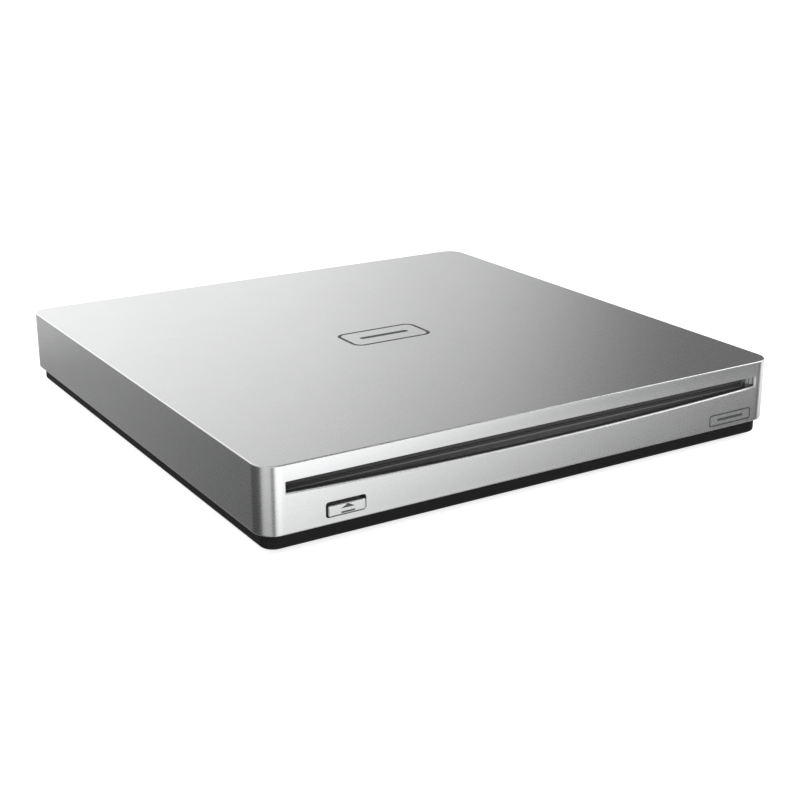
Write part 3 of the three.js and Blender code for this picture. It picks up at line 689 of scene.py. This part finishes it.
def cover_edge(middle):
    """How wide each edge of the cover is rounded: the outside well, and the openings only a little."""
    spare = 0.2 * MM
    on_lid = middle.z > COVER_HIGH.z - 2 * PRINT_DEEP
    if on_lid and abs(middle.x) < 20 * MM and abs(middle.y) < 20 * MM:
        return 0
    on_front = middle.y < FRONT + 2 * PRINT_DEEP
    if on_front and 45 * MM < middle.x < 62 * MM and 5 * MM < middle.z < 10 * MM:
        return 0
    in_wall = middle.y < FRONT + WALL + spare / 2 and middle.z < RECESS_TOP + spare
    in_wall = in_wall and abs(middle.x) < RECESS_HALF + spare
    if in_wall and middle.z > RECESS_LOW - spare:
        return 0.05 * MM
    beside_key = abs(middle.x - BUTTON_X) < BUTTON_WIDE / 2 + 1 * MM
    if in_wall and beside_key and abs(middle.z - BUTTON_Z) < 2 * MM:
        return 0.14 * MM
    at_rear = middle.y > REAR - WALL - spare / 2 and abs(middle.x) < 50 * MM
    if at_rear and 4.6 * MM < middle.z < 12.2 * MM:
        return 0.15 * MM
    return EDGE


def cover():
    """The one-piece shell, with its slot, the key's window and the two socket windows."""
    bm = bmesh.new()
    prism(bm, case_outline(0), COVER_LOW.z, COVER_HIGH.z)
    shell = object_from("cover", bm)
    cut(shell, lambda b: prism(b, case_outline(WALL), COVER_LOW.z - 1 * MM, COVER_HIGH.z - LID))
    cut(shell, lambda b: prism(b, slot_points(), FRONT - 1 * MM, FRONT + WALL + 1 * MM, "Y"))

    def chamfer(b):
        """The sloping face along the slot's lower edge and its ends."""
        rings = []
        for y, slope in ((FRONT + SLOT_CHAMFER, 0), (FRONT - SLOT_CHAMFER, 2 * SLOT_CHAMFER)):
            rings.append([(x, y, z) for x, z in slot_points(0, slope)])
        loft(b, rings)

    cut(shell, chamfer)
    recess_low = (-RECESS_HALF, FRONT + SLOT_LIP, RECESS_LOW)
    recess_high = (RECESS_HALF, FRONT + WALL + 0.5 * MM, RECESS_TOP)
    cut(shell, lambda b: block(b, recess_low, recess_high))
    cut(shell, lambda b: prism(b, window_points(), FRONT - 1 * MM, FRONT + WALL + 1 * MM, "Y"))
    half_u, half_v = USB_WINDOW
    usb = round_rect(USB_X - half_u, USB_Z - half_v, USB_X + half_u, USB_Z + half_v, 1.9 * MM, 12)
    cut(shell, lambda b: prism(b, usb, REAR - WALL - 1 * MM, REAR + 1 * MM, "Y"))
    jack = disc_points(JACK_X, JACK_Z, JACK_WINDOW, 48)
    cut(shell, lambda b: prism(b, jack, REAR - WALL - 1 * MM, REAR + 1 * MM, "Y"))
    cut(shell, lambda b: lid_sign(b, COVER_HIGH.z - PRINT_DEEP, COVER_HIGH.z + PRINT_DEEP))
    cut(shell, lambda b: front_sign(b, FRONT - PRINT_DEEP, FRONT + PRINT_DEEP))
    soften_by(shell, cover_edge, EDGE)
    return dress(shell, SILVER, "case", "silver", "top_cover")


def signs():
    """Dark ink laid in the shallow recesses of the two signs."""
    gap = 0.01 * MM
    bm = bmesh.new()
    lid_sign(bm, COVER_HIGH.z - 2 * PRINT_DEEP, COVER_HIGH.z - gap)
    dress(object_from("lid_sign", bm, False), INK, "case", "black_plastic")
    bm = bmesh.new()
    front_sign(bm, FRONT + gap, FRONT + 2 * PRINT_DEEP)
    dress(object_from("front_sign", bm, False), INK, "case", "black_plastic")


cover()
signs()

# ---------------------------------------------------------------- the black base


def rounded_profile(radius, steps, low):
    """(inset, height) pairs up a lower edge rounded to radius."""
    pairs = []
    for i in range(steps + 1):
        a = math.radians(90 * i / steps)
        pairs.append((radius * (1 - math.sin(a)), low + radius * (1 - math.cos(a))))
    return pairs


def base():
    """The tray under the cover, with a rounded lower edge and what is let into its underside."""
    ledge = COVER_HIGH.x - TRAY_HIGH.x
    inset = ledge + LEDGE_STEP
    levels = [(ledge + step_in, z) for step_in, z in rounded_profile(0.8 * MM, 6, TRAY_LOW.z)]
    levels += [(ledge, LEDGE_TOP), (inset, LEDGE_TOP), (inset, TRAY_HIGH.z)]
    bm = bmesh.new()
    loft(bm, [[(x, y, z) for x, y in case_outline(level)] for level, z in levels])
    tray = object_from("base", bm)
    floor_top = TRAY_LOW.z + TRAY_FLOOR
    cut(tray, lambda b: prism(b, case_outline(inset + 1 * MM), floor_top, TRAY_HIGH.z + 1 * MM))

    below = TRAY_LOW.z - 1 * MM

    def pockets(b):
        """Round pockets for the feet and screws, a recess for the label, and shallow vent grooves."""
        for node in FEET:
            low, high = span(node)
            middle = (low + high) / 2
            radius = (high.x - low.x) / 2 + 0.15 * MM
            prism(b, disc_points(middle.x, middle.y, radius, 48), below, high.z + 0.05 * MM)
        for node in CASE_SCREWS:
            low, high = span(node)
            middle = (low + high) / 2
            radius = (high.x - low.x) / 2 + 0.25 * MM
            prism(b, disc_points(middle.x, middle.y, radius, 32), below, TRAY_LOW.z + 1.3 * MM)
            prism(b, disc_points(middle.x, middle.y, 1.1 * MM, 24), below, TRAY_HIGH.z + 1 * MM)
        prism(b, round_rect(*LABEL[0], *LABEL[1], 1.5 * MM, 6), below, TRAY_LOW.z + 0.25 * MM)
        for row in range(VENT_COUNT):
            y = VENT_START + row * VENT_PITCH
            half = 0.6 * MM
            groove = round_rect(-VENT_HALF, y - half, VENT_HALF, y + half, 0.59 * MM, 6)
            prism(b, groove, below, TRAY_LOW.z + 0.6 * MM)

    cut(tray, pockets)
    deep = 4.5 * MM
    key_room = ((BUTTON_X - 6.4 * MM, FRONT, 5 * MM), (BUTTON_X + 6.4 * MM, FRONT + deep, 8 * MM))
    port_room = ((USB_X - 5.5 * MM, REAR - deep, 5.3 * MM), (JACK_X + 4 * MM, REAR, 8 * MM))
    cut(tray, lambda b: block(b, *key_room))
    cut(tray, lambda b: block(b, *port_room))
    soften(tray, 0.12 * MM, 2)
    return dress(tray, BLACK, "case", "black_plastic", "base_tray")


base()


def label():
    """A blank film laid in the recess under the base."""
    margin = 0.8 * MM
    low = (LABEL[0][0] + margin, LABEL[0][1] + margin)
    high = (LABEL[1][0] - margin, LABEL[1][1] - margin)
    bm = bmesh.new()
    prism(bm, round_rect(*low, *high, 1 * MM, 6), TRAY_LOW.z + 0.1 * MM, TRAY_LOW.z + 0.23 * MM)
    film = object_from("blank_label", bm)
    soften(film, 0.03 * MM, 2)
    return dress(film, FILM, "case", "silver")


label()


def foot(node):
    """A rubber foot with a rounded rim and a shallow dished face."""
    low, high = span(node)
    middle = (low + high) / 2
    radius = (high.x - low.x) / 2
    rim = 0.35 * MM
    axis = 0.0001 * MM
    dish = 0.12 * MM
    profile = [(axis, dish), (radius * 0.55, dish), (radius * 0.66, 0.02 * MM), (radius * 0.72, 0)]
    for i in range(6):
        a = math.radians(18 * i)
        profile.append((radius - rim + rim * math.sin(a), rim * (1 - math.cos(a))))
    profile.append((radius, high.z))
    profile.append((axis, high.z))
    bm = bmesh.new()
    lathe(bm, profile, middle.x, middle.y)
    made = object_from(f"pad_{node}", bm)
    soften(made, 0.05 * MM, 2)
    return dress(made, RUBBER, "case", "rubber", node)


for name in FEET:
    foot(name)

# ---------------------------------------------------------------- the eject key


def key():
    """The silver key: a proud cap with rounded edges, and the flange that holds it in its window."""
    bm = bmesh.new()
    prism(bm, key_points(), KEY_FACE, FRONT + WALL + 0.2 * MM, "Y")
    cap = object_from("eject_key_cap", bm)
    soften(cap, 0.28 * MM, 5)
    dress(cap, SILVER, "eject_key", "silver", "eject_button")
    # the flange is a real part, and its dark grey is painted shade for the gap round the key
    flange_low = (BUTTON_X - 5.4 * MM, BUTTON_Z - 1.9 * MM)
    flange_high = (BUTTON_X + 5.4 * MM, BUTTON_Z + 1.9 * MM)
    plate = round_rect(*flange_low, *flange_high, 0.6 * MM, 4)
    bm = bmesh.new()
    prism(bm, plate, FRONT + WALL + 0.1 * MM, BUTTON_HIGH.y, "Y")
    flange = object_from("eject_key_flange", bm)
    soften(flange, 0.08 * MM, 2)
    return dress(flange, CHARCOAL, "eject_key", "black_plastic")


def eject_mark():
    """The printed sign for eject: a triangle over a bar, on the key's face."""
    depth = (KEY_FACE - 0.008 * MM, KEY_FACE + 0.02 * MM, "Y")
    middle = BUTTON_X + 0.1 * MM
    half = 1.55 * MM
    bar_z = BUTTON_Z - 1 * MM
    bm = bmesh.new()
    bar = round_rect(middle - half, bar_z, middle + half, bar_z + 0.36 * MM, 0.05 * MM, 3)
    prism(bm, bar, *depth)
    low = BUTTON_Z + 0.02 * MM
    triangle = [(middle - half, low), (middle + half, low), (middle, low + 0.82 * MM)]
    prism(bm, triangle, *depth)
    mark = object_from("eject_mark", bm, False)
    return dress(mark, INK, "eject_key", "black_plastic")


key()
eject_mark()

# ---------------------------------------------------------------- the slot's lining


def lip(name, node, look, profile):
    """A felt lip along the slot, from (depth behind its front, height) pairs, with a slightly uneven nap."""
    low, high = span(node)
    steps = 260
    front = [(low.y + depth * MM, z * MM) for depth, z in profile]
    closed = [*front, (high.y, front[-1][1]), (high.y, front[0][1])]
    bm = bmesh.new()
    rings = []
    for i in range(steps + 1):
        x = low.x + (high.x - low.x) * i / steps
        ring = []
        for j, (y, z) in enumerate(closed):
            nap = noise.noise(Vector((x / MM * 1.7, z / MM * 2.1, SEED))) * 0.04 * MM
            ring.append((x, y + (nap if j < len(front) else 0), z))
        rings.append(ring)
    loft(bm, rings)
    strip = object_from(name, bm)
    return dress(strip, look, "case", "felt", node)


# (depth behind its front, height) in millimetres up each lip's face. The upper lip hangs behind the
# slot's top edge. The lower one bulges forward into a ridge, and stands a little further back above it.
UPPER_LIP = ((0.3, 13.93), (0.12, 13.96), (0.06, 14.04), (0.05, 14.12), (0.05, 14.2), (0.05, 16.9))
LOWER_LIP = (
    (0.05, 10.9),
    (0.05, 12.82),
    (0.03, 12.93),
    (0.02, 13.0),
    (0.03, 13.07),
    (0.12, 13.15),
    (0.14, 13.2),
    (0.14, 13.62),
    (0.18, 13.68),
    (0.3, 13.76),
)
lip("felt_lip_upper", "slot_felt_upper", FELT_UPPER, UPPER_LIP)
lip("felt_lip_lower", "slot_felt_lower", FELT_LOWER, LOWER_LIP)


def sill_points(room):
    """The sill in front of the light guide's foot, in X and Z: it falls towards the slot's end."""
    left = GUIDE_LOW.x - room
    right = SLOT_HALF + 0.4 * MM
    top = ((right, SILL_END + room), (left, SILL_START + room))
    return [(left, SLOT_MIDDLE), (right, SLOT_MIDDLE), *top]


def lining():
    """The dark frame behind the slot, open at its right end for the light guide but for a low sill."""
    low, high = span("slot_frame")
    bm = bmesh.new()
    block(bm, low, high)
    plate = object_from("slot_lining", bm)
    cut(plate, lambda b: prism(b, slot_points(0.1 * MM), low.y - 1 * MM, high.y + 1 * MM, "Y"))
    room_low = (GUIDE_LOW.x - 0.1 * MM, low.y - 1 * MM, SLOT_MIDDLE + 0.1 * MM)
    room_high = (high.x + 1 * MM, high.y + 1 * MM, high.z + 1 * MM)
    cut(plate, lambda b: block(b, room_low, room_high))
    sill = (GUIDE_LOW.y + 0.05 * MM, GUIDE_LOW.y + 0.9 * MM, "Y")
    join(plate, lambda b: prism(b, sill_points(0), *sill))
    soften(plate, 0.05 * MM, 2)
    return dress(plate, CHARCOAL, "case", "black_plastic", "slot_frame")


lining()


def light_guide():
    """The clear block at the slot's right end, with the grooves that spread its light."""
    low, high = GUIDE_LOW, GUIDE_HIGH
    bm = bmesh.new()
    block(bm, (low.x, low.y, GUIDE_FOOT), high)
    guide = object_from("light_guide", bm)
    join(guide, lambda b: block(b, (*GUIDE_LEG, low.z), high))
    sill = (low.y - 1 * MM, low.y + 0.95 * MM, "Y")
    cut(guide, lambda b: prism(b, sill_points(0.03 * MM), *sill))

    def grooves(b):
        """Upright grooves in its face, from (place, width, depth) in millimetres."""
        for x, wide, deep in ((0.35, 0.12, 0.2), (0.75, 0.3, 0.3), (1.15, 0.12, 0.2), (2.15, 0.12, 0.25)):
            left = low.x + x * MM
            corner = (left, low.y - 1 * MM, GUIDE_FOOT - 1 * MM)
            block(b, corner, (left + wide * MM, low.y + deep * MM, high.z + 1.1 * MM))

    cut(guide, grooves)
    soften(guide, 0.04 * MM, 2)
    return dress(guide, FROSTED, "case", "clear", "light_pipe")


light_guide()

# ---------------------------------------------------------------- the rear sockets


def usb_socket():
    """The steel receptacle: a folded stadium shell."""
    low, high = USB_LOW, USB_HIGH
    bm = bmesh.new()
    tall = (high.z - low.z) / 2 - 0.02 * MM
    prism(bm, round_rect(low.x, low.z, high.x, high.z, tall, 14), low.y, high.y, "Y")
    shell = object_from("usb_shell", bm)
    skin = 0.3 * MM
    hollow = round_rect(low.x + skin, low.z + skin, high.x - skin, high.z - skin, tall - skin, 14)
    cut(shell, lambda b: prism(b, hollow, low.y + USB_DEEP, high.y + 1 * MM, "Y"))
    soften(shell, 0.06 * MM, 2)
    return dress(shell, GROUND, "case", "steel", "usb_c_socket")


def usb_tongue():
    """The black tongue inside the receptacle."""
    bm = bmesh.new()
    low = (USB_X - 3.3 * MM, USB_LOW.y + USB_DEEP, USB_Z - 0.35 * MM)
    high = (USB_X + 3.3 * MM, TONGUE_END, USB_Z + 0.35 * MM)
    block(bm, low, high)
    tongue = object_from("usb_tongue", bm)
    soften(tongue, 0.08 * MM, 2)
    return dress(tongue, BLACK, "case", "black_plastic")


def usb_contacts():
    """Two rows of gold-coloured contact strips on the tongue."""
    start, end = TONGUE_END - 4.6 * MM, TONGUE_END - 0.4 * MM
    wide, thick = 0.12 * MM, 0.03 * MM
    bm = bmesh.new()
    for side in (-1, 1):
        for i in range(12):
            x = USB_X + (i - 5.5) * 0.5 * MM
            z = USB_Z + side * 0.36 * MM
            block(bm, (x - wide, start, z - thick), (x + wide, end, z + thick))
    strips = object_from("usb_contacts", bm)
    return dress(strips, BRASS, "case", "brass")


def power_socket():
    """The round power socket: black body, bored barrel."""
    bm = bmesh.new()
    block(bm, (JACK_LOW.x, JACK_LOW.y, JACK_LOW.z), (JACK_HIGH.x, REAR - 1.8 * MM, JACK_HIGH.z))
    body = object_from("power_socket", bm)
    barrel = disc_points(JACK_X, JACK_Z, JACK_BORE + 0.4 * MM, 48)
    join(body, lambda b: prism(b, barrel, REAR - 2.5 * MM, JACK_HIGH.y, "Y"))
    bore = disc_points(JACK_X, JACK_Z, JACK_BORE, 48)
    cut(body, lambda b: prism(b, bore, REAR - 9.5 * MM, REAR + 0.5 * MM, "Y"))
    soften(body, 0.1 * MM, 2)
    return dress(body, BLACK, "case", "black_plastic", "dc_jack")


def power_pin():
    """The power socket's centre pin, with a rounded tip."""
    bm = bmesh.new()
    root, tip = REAR - 10 * MM, REAR - 0.9 * MM
    radius = 0.8 * MM
    profile = ((root, 1), (tip - 0.6 * MM, 1), (tip - 0.2 * MM, 0.8), (tip, 0.4))
    rings = []
    for y, share in profile:
        rings.append([(x, y, z) for x, z in disc_points(JACK_X, JACK_Z, radius * share, 24)])
    loft(bm, rings)
    pin = object_from("power_pin", bm)
    return dress(pin, GROUND, "case", "steel")


usb_socket()
usb_tongue()
usb_contacts()
power_socket()
power_pin()

# ---------------------------------------------------------------- nodes that keep their CAD shape

# the look of each node that stays
LOOKS = {
    SCREWS: [*CASE_SCREWS, "mech_screw_1", "mech_screw_2", "mech_screw_3", "mech_screw_4"],
    NATURAL: ["status_led", "worm_gear", "main_slider", "screw_nut"],
    BOARD: ["status_board", "button_board", "main_board"],
    CHIP: ["tact_switch", "controller_chip", "memory_chip", "power_inductor"],
    STEEL: [
        "mech_chassis",
        "mech_cover",
        "loading_motor",
        "loading_arm",
        "eject_arm",
        "guide_arm",
        "sled_motor",
    ],
    GROUND: [
        "gear_axle",
        "loading_arm_pin",
        "eject_arm_pin",
        "guide_arm_pin",
        "guide_rod_main",
        "guide_rod_aux",
        "turntable",
        "spindle_motor",
        "traverse_pin_front",
        "traverse_pin_rear",
    ],
    BRASS: ["motor_worm", "lead_screw"],
    ZINC: ["traverse_frame", "pickup_body"],
    BLACK: ["chucking_hub", "lens_actuator"],
    RUBBER: ["turntable_pad"],
    LENS: ["objective_lens"],
}


def finish_nodes():
    """Puts a procedural material on each CAD node that stays, and rounds its sharp edges a little."""
    for look, names in LOOKS.items():
        for name in names:
            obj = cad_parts[name]
            obj.data.materials.clear()
            obj.data.materials.append(look)
            bevel = obj.modifiers.new("edges", "BEVEL")
            bevel.width = 0.04 * MM
            bevel.segments = 2
            bevel.limit_method = "ANGLE"
            bevel.angle_limit = math.radians(40)


finish_nodes()

# ---------------------------------------------------------------- the studio

# the table's own light, and how dark its mirror image is beside the case and how far out that reaches
FLOOR_GLOW = 0.8
SHADED = 0.62
SHADE_REACH = 60 * MM

CAMERA_AT = Vector((-176.52, -292.64, 118.48)) * MM
CAMERA_AZIMUTH = -31.89
CAMERA_ELEVATION = 18.896

# Brightness of the studio's panels round the compass, from (degrees from +Y towards +X, brightness) pairs.
# The rings follow each other from below the horizon to high up, and OVERHEAD is straight above.
LOW_RING = (
    (0, 0.6),
    (50, 1.0),
    (108, 1.2),
    (117, 0.06),
    (130, 0.06),
    (136, 0.1),
    (143, 0.88),
    (152, 1.55),
    (160, 1.58),
    (190, 1.6),
    (195, 0.06),
    (206, 0.06),
    (213, 0.78),
    (254, 0.72),
    (267, 0.08),
    (332, 0.1),
    (336, 0.15),
    (340, 0.6),
    (344, 0.72),
)
MIDDLE_RING = (
    (0, 1.38),
    (17, 1.4),
    (26, 1.32),
    (34, 0.94),
    (44, 0.18),
    (56, 0.3),
    (88, 0.35),
    (104, 0.05),
    (133, 0.05),
    (142, 1.1),
    (151, 1.8),
    (165, 1.2),
    (200, 0.8),
    (250, 0.8),
    (290, 0.5),
    (335, 0.5),
    (343, 1.9),
    (352, 1.9),
)
UPPER_RING = (
    (0, 1.2),
    (14, 0.75),
    (26, 0.3),
    (40, 0.05),
    (62, 0.05),
    (80, 2.5),
    (117, 2.5),
    (123, 0.05),
    (160, 0.05),
    (185, 0.6),
    (300, 0.6),
    (332, 0.6),
    (344, 1.4),
)
HIGH_RING = (
    (0, 0.8),
    (20, 0.1),
    (40, 0.02),
    (114, 0.02),
    (130, 0.9),
    (150, 1.1),
    (185, 0.6),
    (332, 0.6),
    (344, 1.4),
)
OVERHEAD = 0.8


def wide_plane(name, height, size=3.0):
    """A square sheet, level with the table."""
    bm = bmesh.new()
    for x, y in ((-size, -size), (size, -size), (size, size), (-size, size)):
        bm.verts.new((x, y, height))
    bm.faces.new(bm.verts)
    return object_from(name, bm)


def studio_floor():
    """A wide pale table top, lit from within a little so that shadows on it stay faint."""
    table = wide_plane("studio_floor", -0.01 * MM)
    s = Surface("pale_table", (0.95, 0.95, 0.95), 0.9)
    s.tint(s.remap(s.noise(0.2, 3.0), 0.3, 0.7, 0, 0.3), (0.94, 0.94, 0.94))
    s.put("Specular IOR Level", 0.0)
    s.put("Emission Color", (1, 1, 1, 1))
    s.put("Emission Strength", FLOOR_GLOW)
    table.data.materials.append(s.made)
    table.visible_glossy = False


def table_reflection():
    """What metal mirrors of the table: darker close to the case, which shades it, and clear further out."""
    sheet = wide_plane("studio_reflection", 0.02 * MM, 0.5)
    look = bpy.data.materials.new("table_in_mirror")
    look.use_nodes = True
    tree = look.node_tree
    tree.nodes.clear()
    wire = tree.links.new

    def step(operation, source):
        """One step of vector arithmetic on source."""
        made = tree.nodes.new("ShaderNodeVectorMath")
        made.operation = operation
        wire(source, made.inputs[0])
        return made

    away = step("ABSOLUTE", tree.nodes.new("ShaderNodeTexCoord").outputs["Object"])
    past = step("SUBTRACT", away.outputs[0])
    past.inputs[1].default_value = (COVER_HIGH.x, REAR, 0)
    outside = step("MAXIMUM", past.outputs[0])
    distance = step("LENGTH", outside.outputs[0])
    ramp = tree.nodes.new("ShaderNodeMapRange")
    ramp.interpolation_type = "SMOOTHSTEP"
    limits = {"From Min": 0, "From Max": SHADE_REACH, "To Min": SHADED, "To Max": 1}
    for socket, value in limits.items():
        ramp.inputs[socket].default_value = value
    wire(distance.outputs["Value"], ramp.inputs["Value"])
    through = tree.nodes.new("ShaderNodeBsdfTransparent")
    wire(ramp.outputs["Result"], through.inputs["Color"])
    wire(through.outputs[0], tree.nodes.new("ShaderNodeOutputMaterial").inputs["Surface"])
    sheet.data.materials.append(look)
    sheet.visible_camera = False
    sheet.visible_diffuse = False
    sheet.visible_shadow = False


def studio_sky():
    """Soft studio light all round: broad bright and dim panels for the metal to mirror."""
    world = bpy.data.worlds.new("studio")
    bpy.context.scene.world = world
    world.use_nodes = True
    tree = world.node_tree
    nodes = tree.nodes
    nodes.clear()
    wire = tree.links.new

    def math_node(operation, a, b=0.0):
        """One sum on two values, each a number or a socket."""
        made = nodes.new("ShaderNodeMath")
        made.operation = operation
        for i, value in enumerate((a, b)):
            if isinstance(value, (int, float)):
                made.inputs[i].default_value = value
            else:
                wire(value, made.inputs[i])
        return made.outputs[0]

    place = nodes.new("ShaderNodeTexCoord").outputs["Generated"]
    split = nodes.new("ShaderNodeSeparateXYZ")
    wire(place, split.inputs[0])
    x, y, z = split.outputs
    compass = math_node("MULTIPLY", math_node("ARCTAN2", x, y), 0.5 / math.pi)
    around = math_node("FRACT", math_node("ADD", compass, 1.0))
    height = math_node("MULTIPLY", math_node("ARCSINE", z), 180 / math.pi)

    def ring(stops):
        """Brightness round the compass, from (degrees from +Y towards +X, brightness) pairs."""
        ramp = nodes.new("ShaderNodeValToRGB")
        ramp.color_ramp.interpolation = "EASE"
        elements = ramp.color_ramp.elements
        while len(elements) > 1:
            elements.remove(elements[-1])
        for i, (degrees, level) in enumerate(stops):
            element = elements[0] if i == 0 else elements.new(degrees / 360)
            element.position = degrees / 360
            element.color = (level, level, level, 1)
        wire(around, ramp.inputs[0])
        return ramp.outputs["Color"]

    def rise(low, high):
        """0 below the height low, 1 above high, in degrees."""
        made = nodes.new("ShaderNodeMapRange")
        made.interpolation_type = "SMOOTHSTEP"
        made.inputs["From Min"].default_value = low
        made.inputs["From Max"].default_value = high
        wire(height, made.inputs["Value"])
        return made.outputs["Result"]

    def blend(factor, a, b):
        """Mixes two brightnesses, each a number or a socket, by factor."""
        made = nodes.new("ShaderNodeMix")
        made.data_type = "RGBA"
        wire(factor, made.inputs["Factor"])
        for key, value in (("A", a), ("B", b)):
            if isinstance(value, (int, float)):
                made.inputs[key].default_value = (value, value, value, 1)
            else:
                wire(value, made.inputs[key])
        return made.outputs["Result"]

    below = ring(LOW_RING)
    middle = ring(MIDDLE_RING)
    upper = ring(UPPER_RING)
    high = ring(HIGH_RING)
    sky = blend(rise(-8, 4), below, middle)
    sky = blend(rise(10, 30), sky, upper)
    sky = blend(rise(50, 56), sky, high)
    sky = blend(rise(68, 84), sky, OVERHEAD)
    seen = nodes.new("ShaderNodeBackground")
    wire(sky, seen.inputs["Color"])
    backdrop = nodes.new("ShaderNodeBackground")
    backdrop.inputs["Color"].default_value = (1, 1, 1, 1)
    choose = nodes.new("ShaderNodeMixShader")
    wire(nodes.new("ShaderNodeLightPath").outputs["Is Camera Ray"], choose.inputs[0])
    wire(seen.outputs[0], choose.inputs[1])
    wire(backdrop.outputs[0], choose.inputs[2])
    wire(choose.outputs[0], nodes.new("ShaderNodeOutputWorld").inputs[0])


def camera():
    """The camera at the three-quarter view from the front left."""
    data = bpy.data.cameras.new("camera")
    data.sensor_width = 36
    data.lens = 64.8
    data.clip_start = 0.01
    data.clip_end = 20
    obj = bpy.data.objects.new("camera", data)
    bpy.context.scene.collection.objects.link(obj)
    azimuth = math.radians(CAMERA_AZIMUTH)
    elevation = math.radians(CAMERA_ELEVATION)
    flat = math.cos(elevation)
    back = Vector((math.sin(azimuth) * flat, -math.cos(azimuth) * flat, math.sin(elevation)))
    turn = back.to_track_quat("Z", "Y").to_matrix().to_4x4()
    obj.matrix_world = Matrix.Translation(CAMERA_AT) @ turn
    bpy.context.scene.camera = obj


studio_floor()
table_reflection()
studio_sky()
camera()
bpy.context.scene.view_settings.view_transform = "Standard"
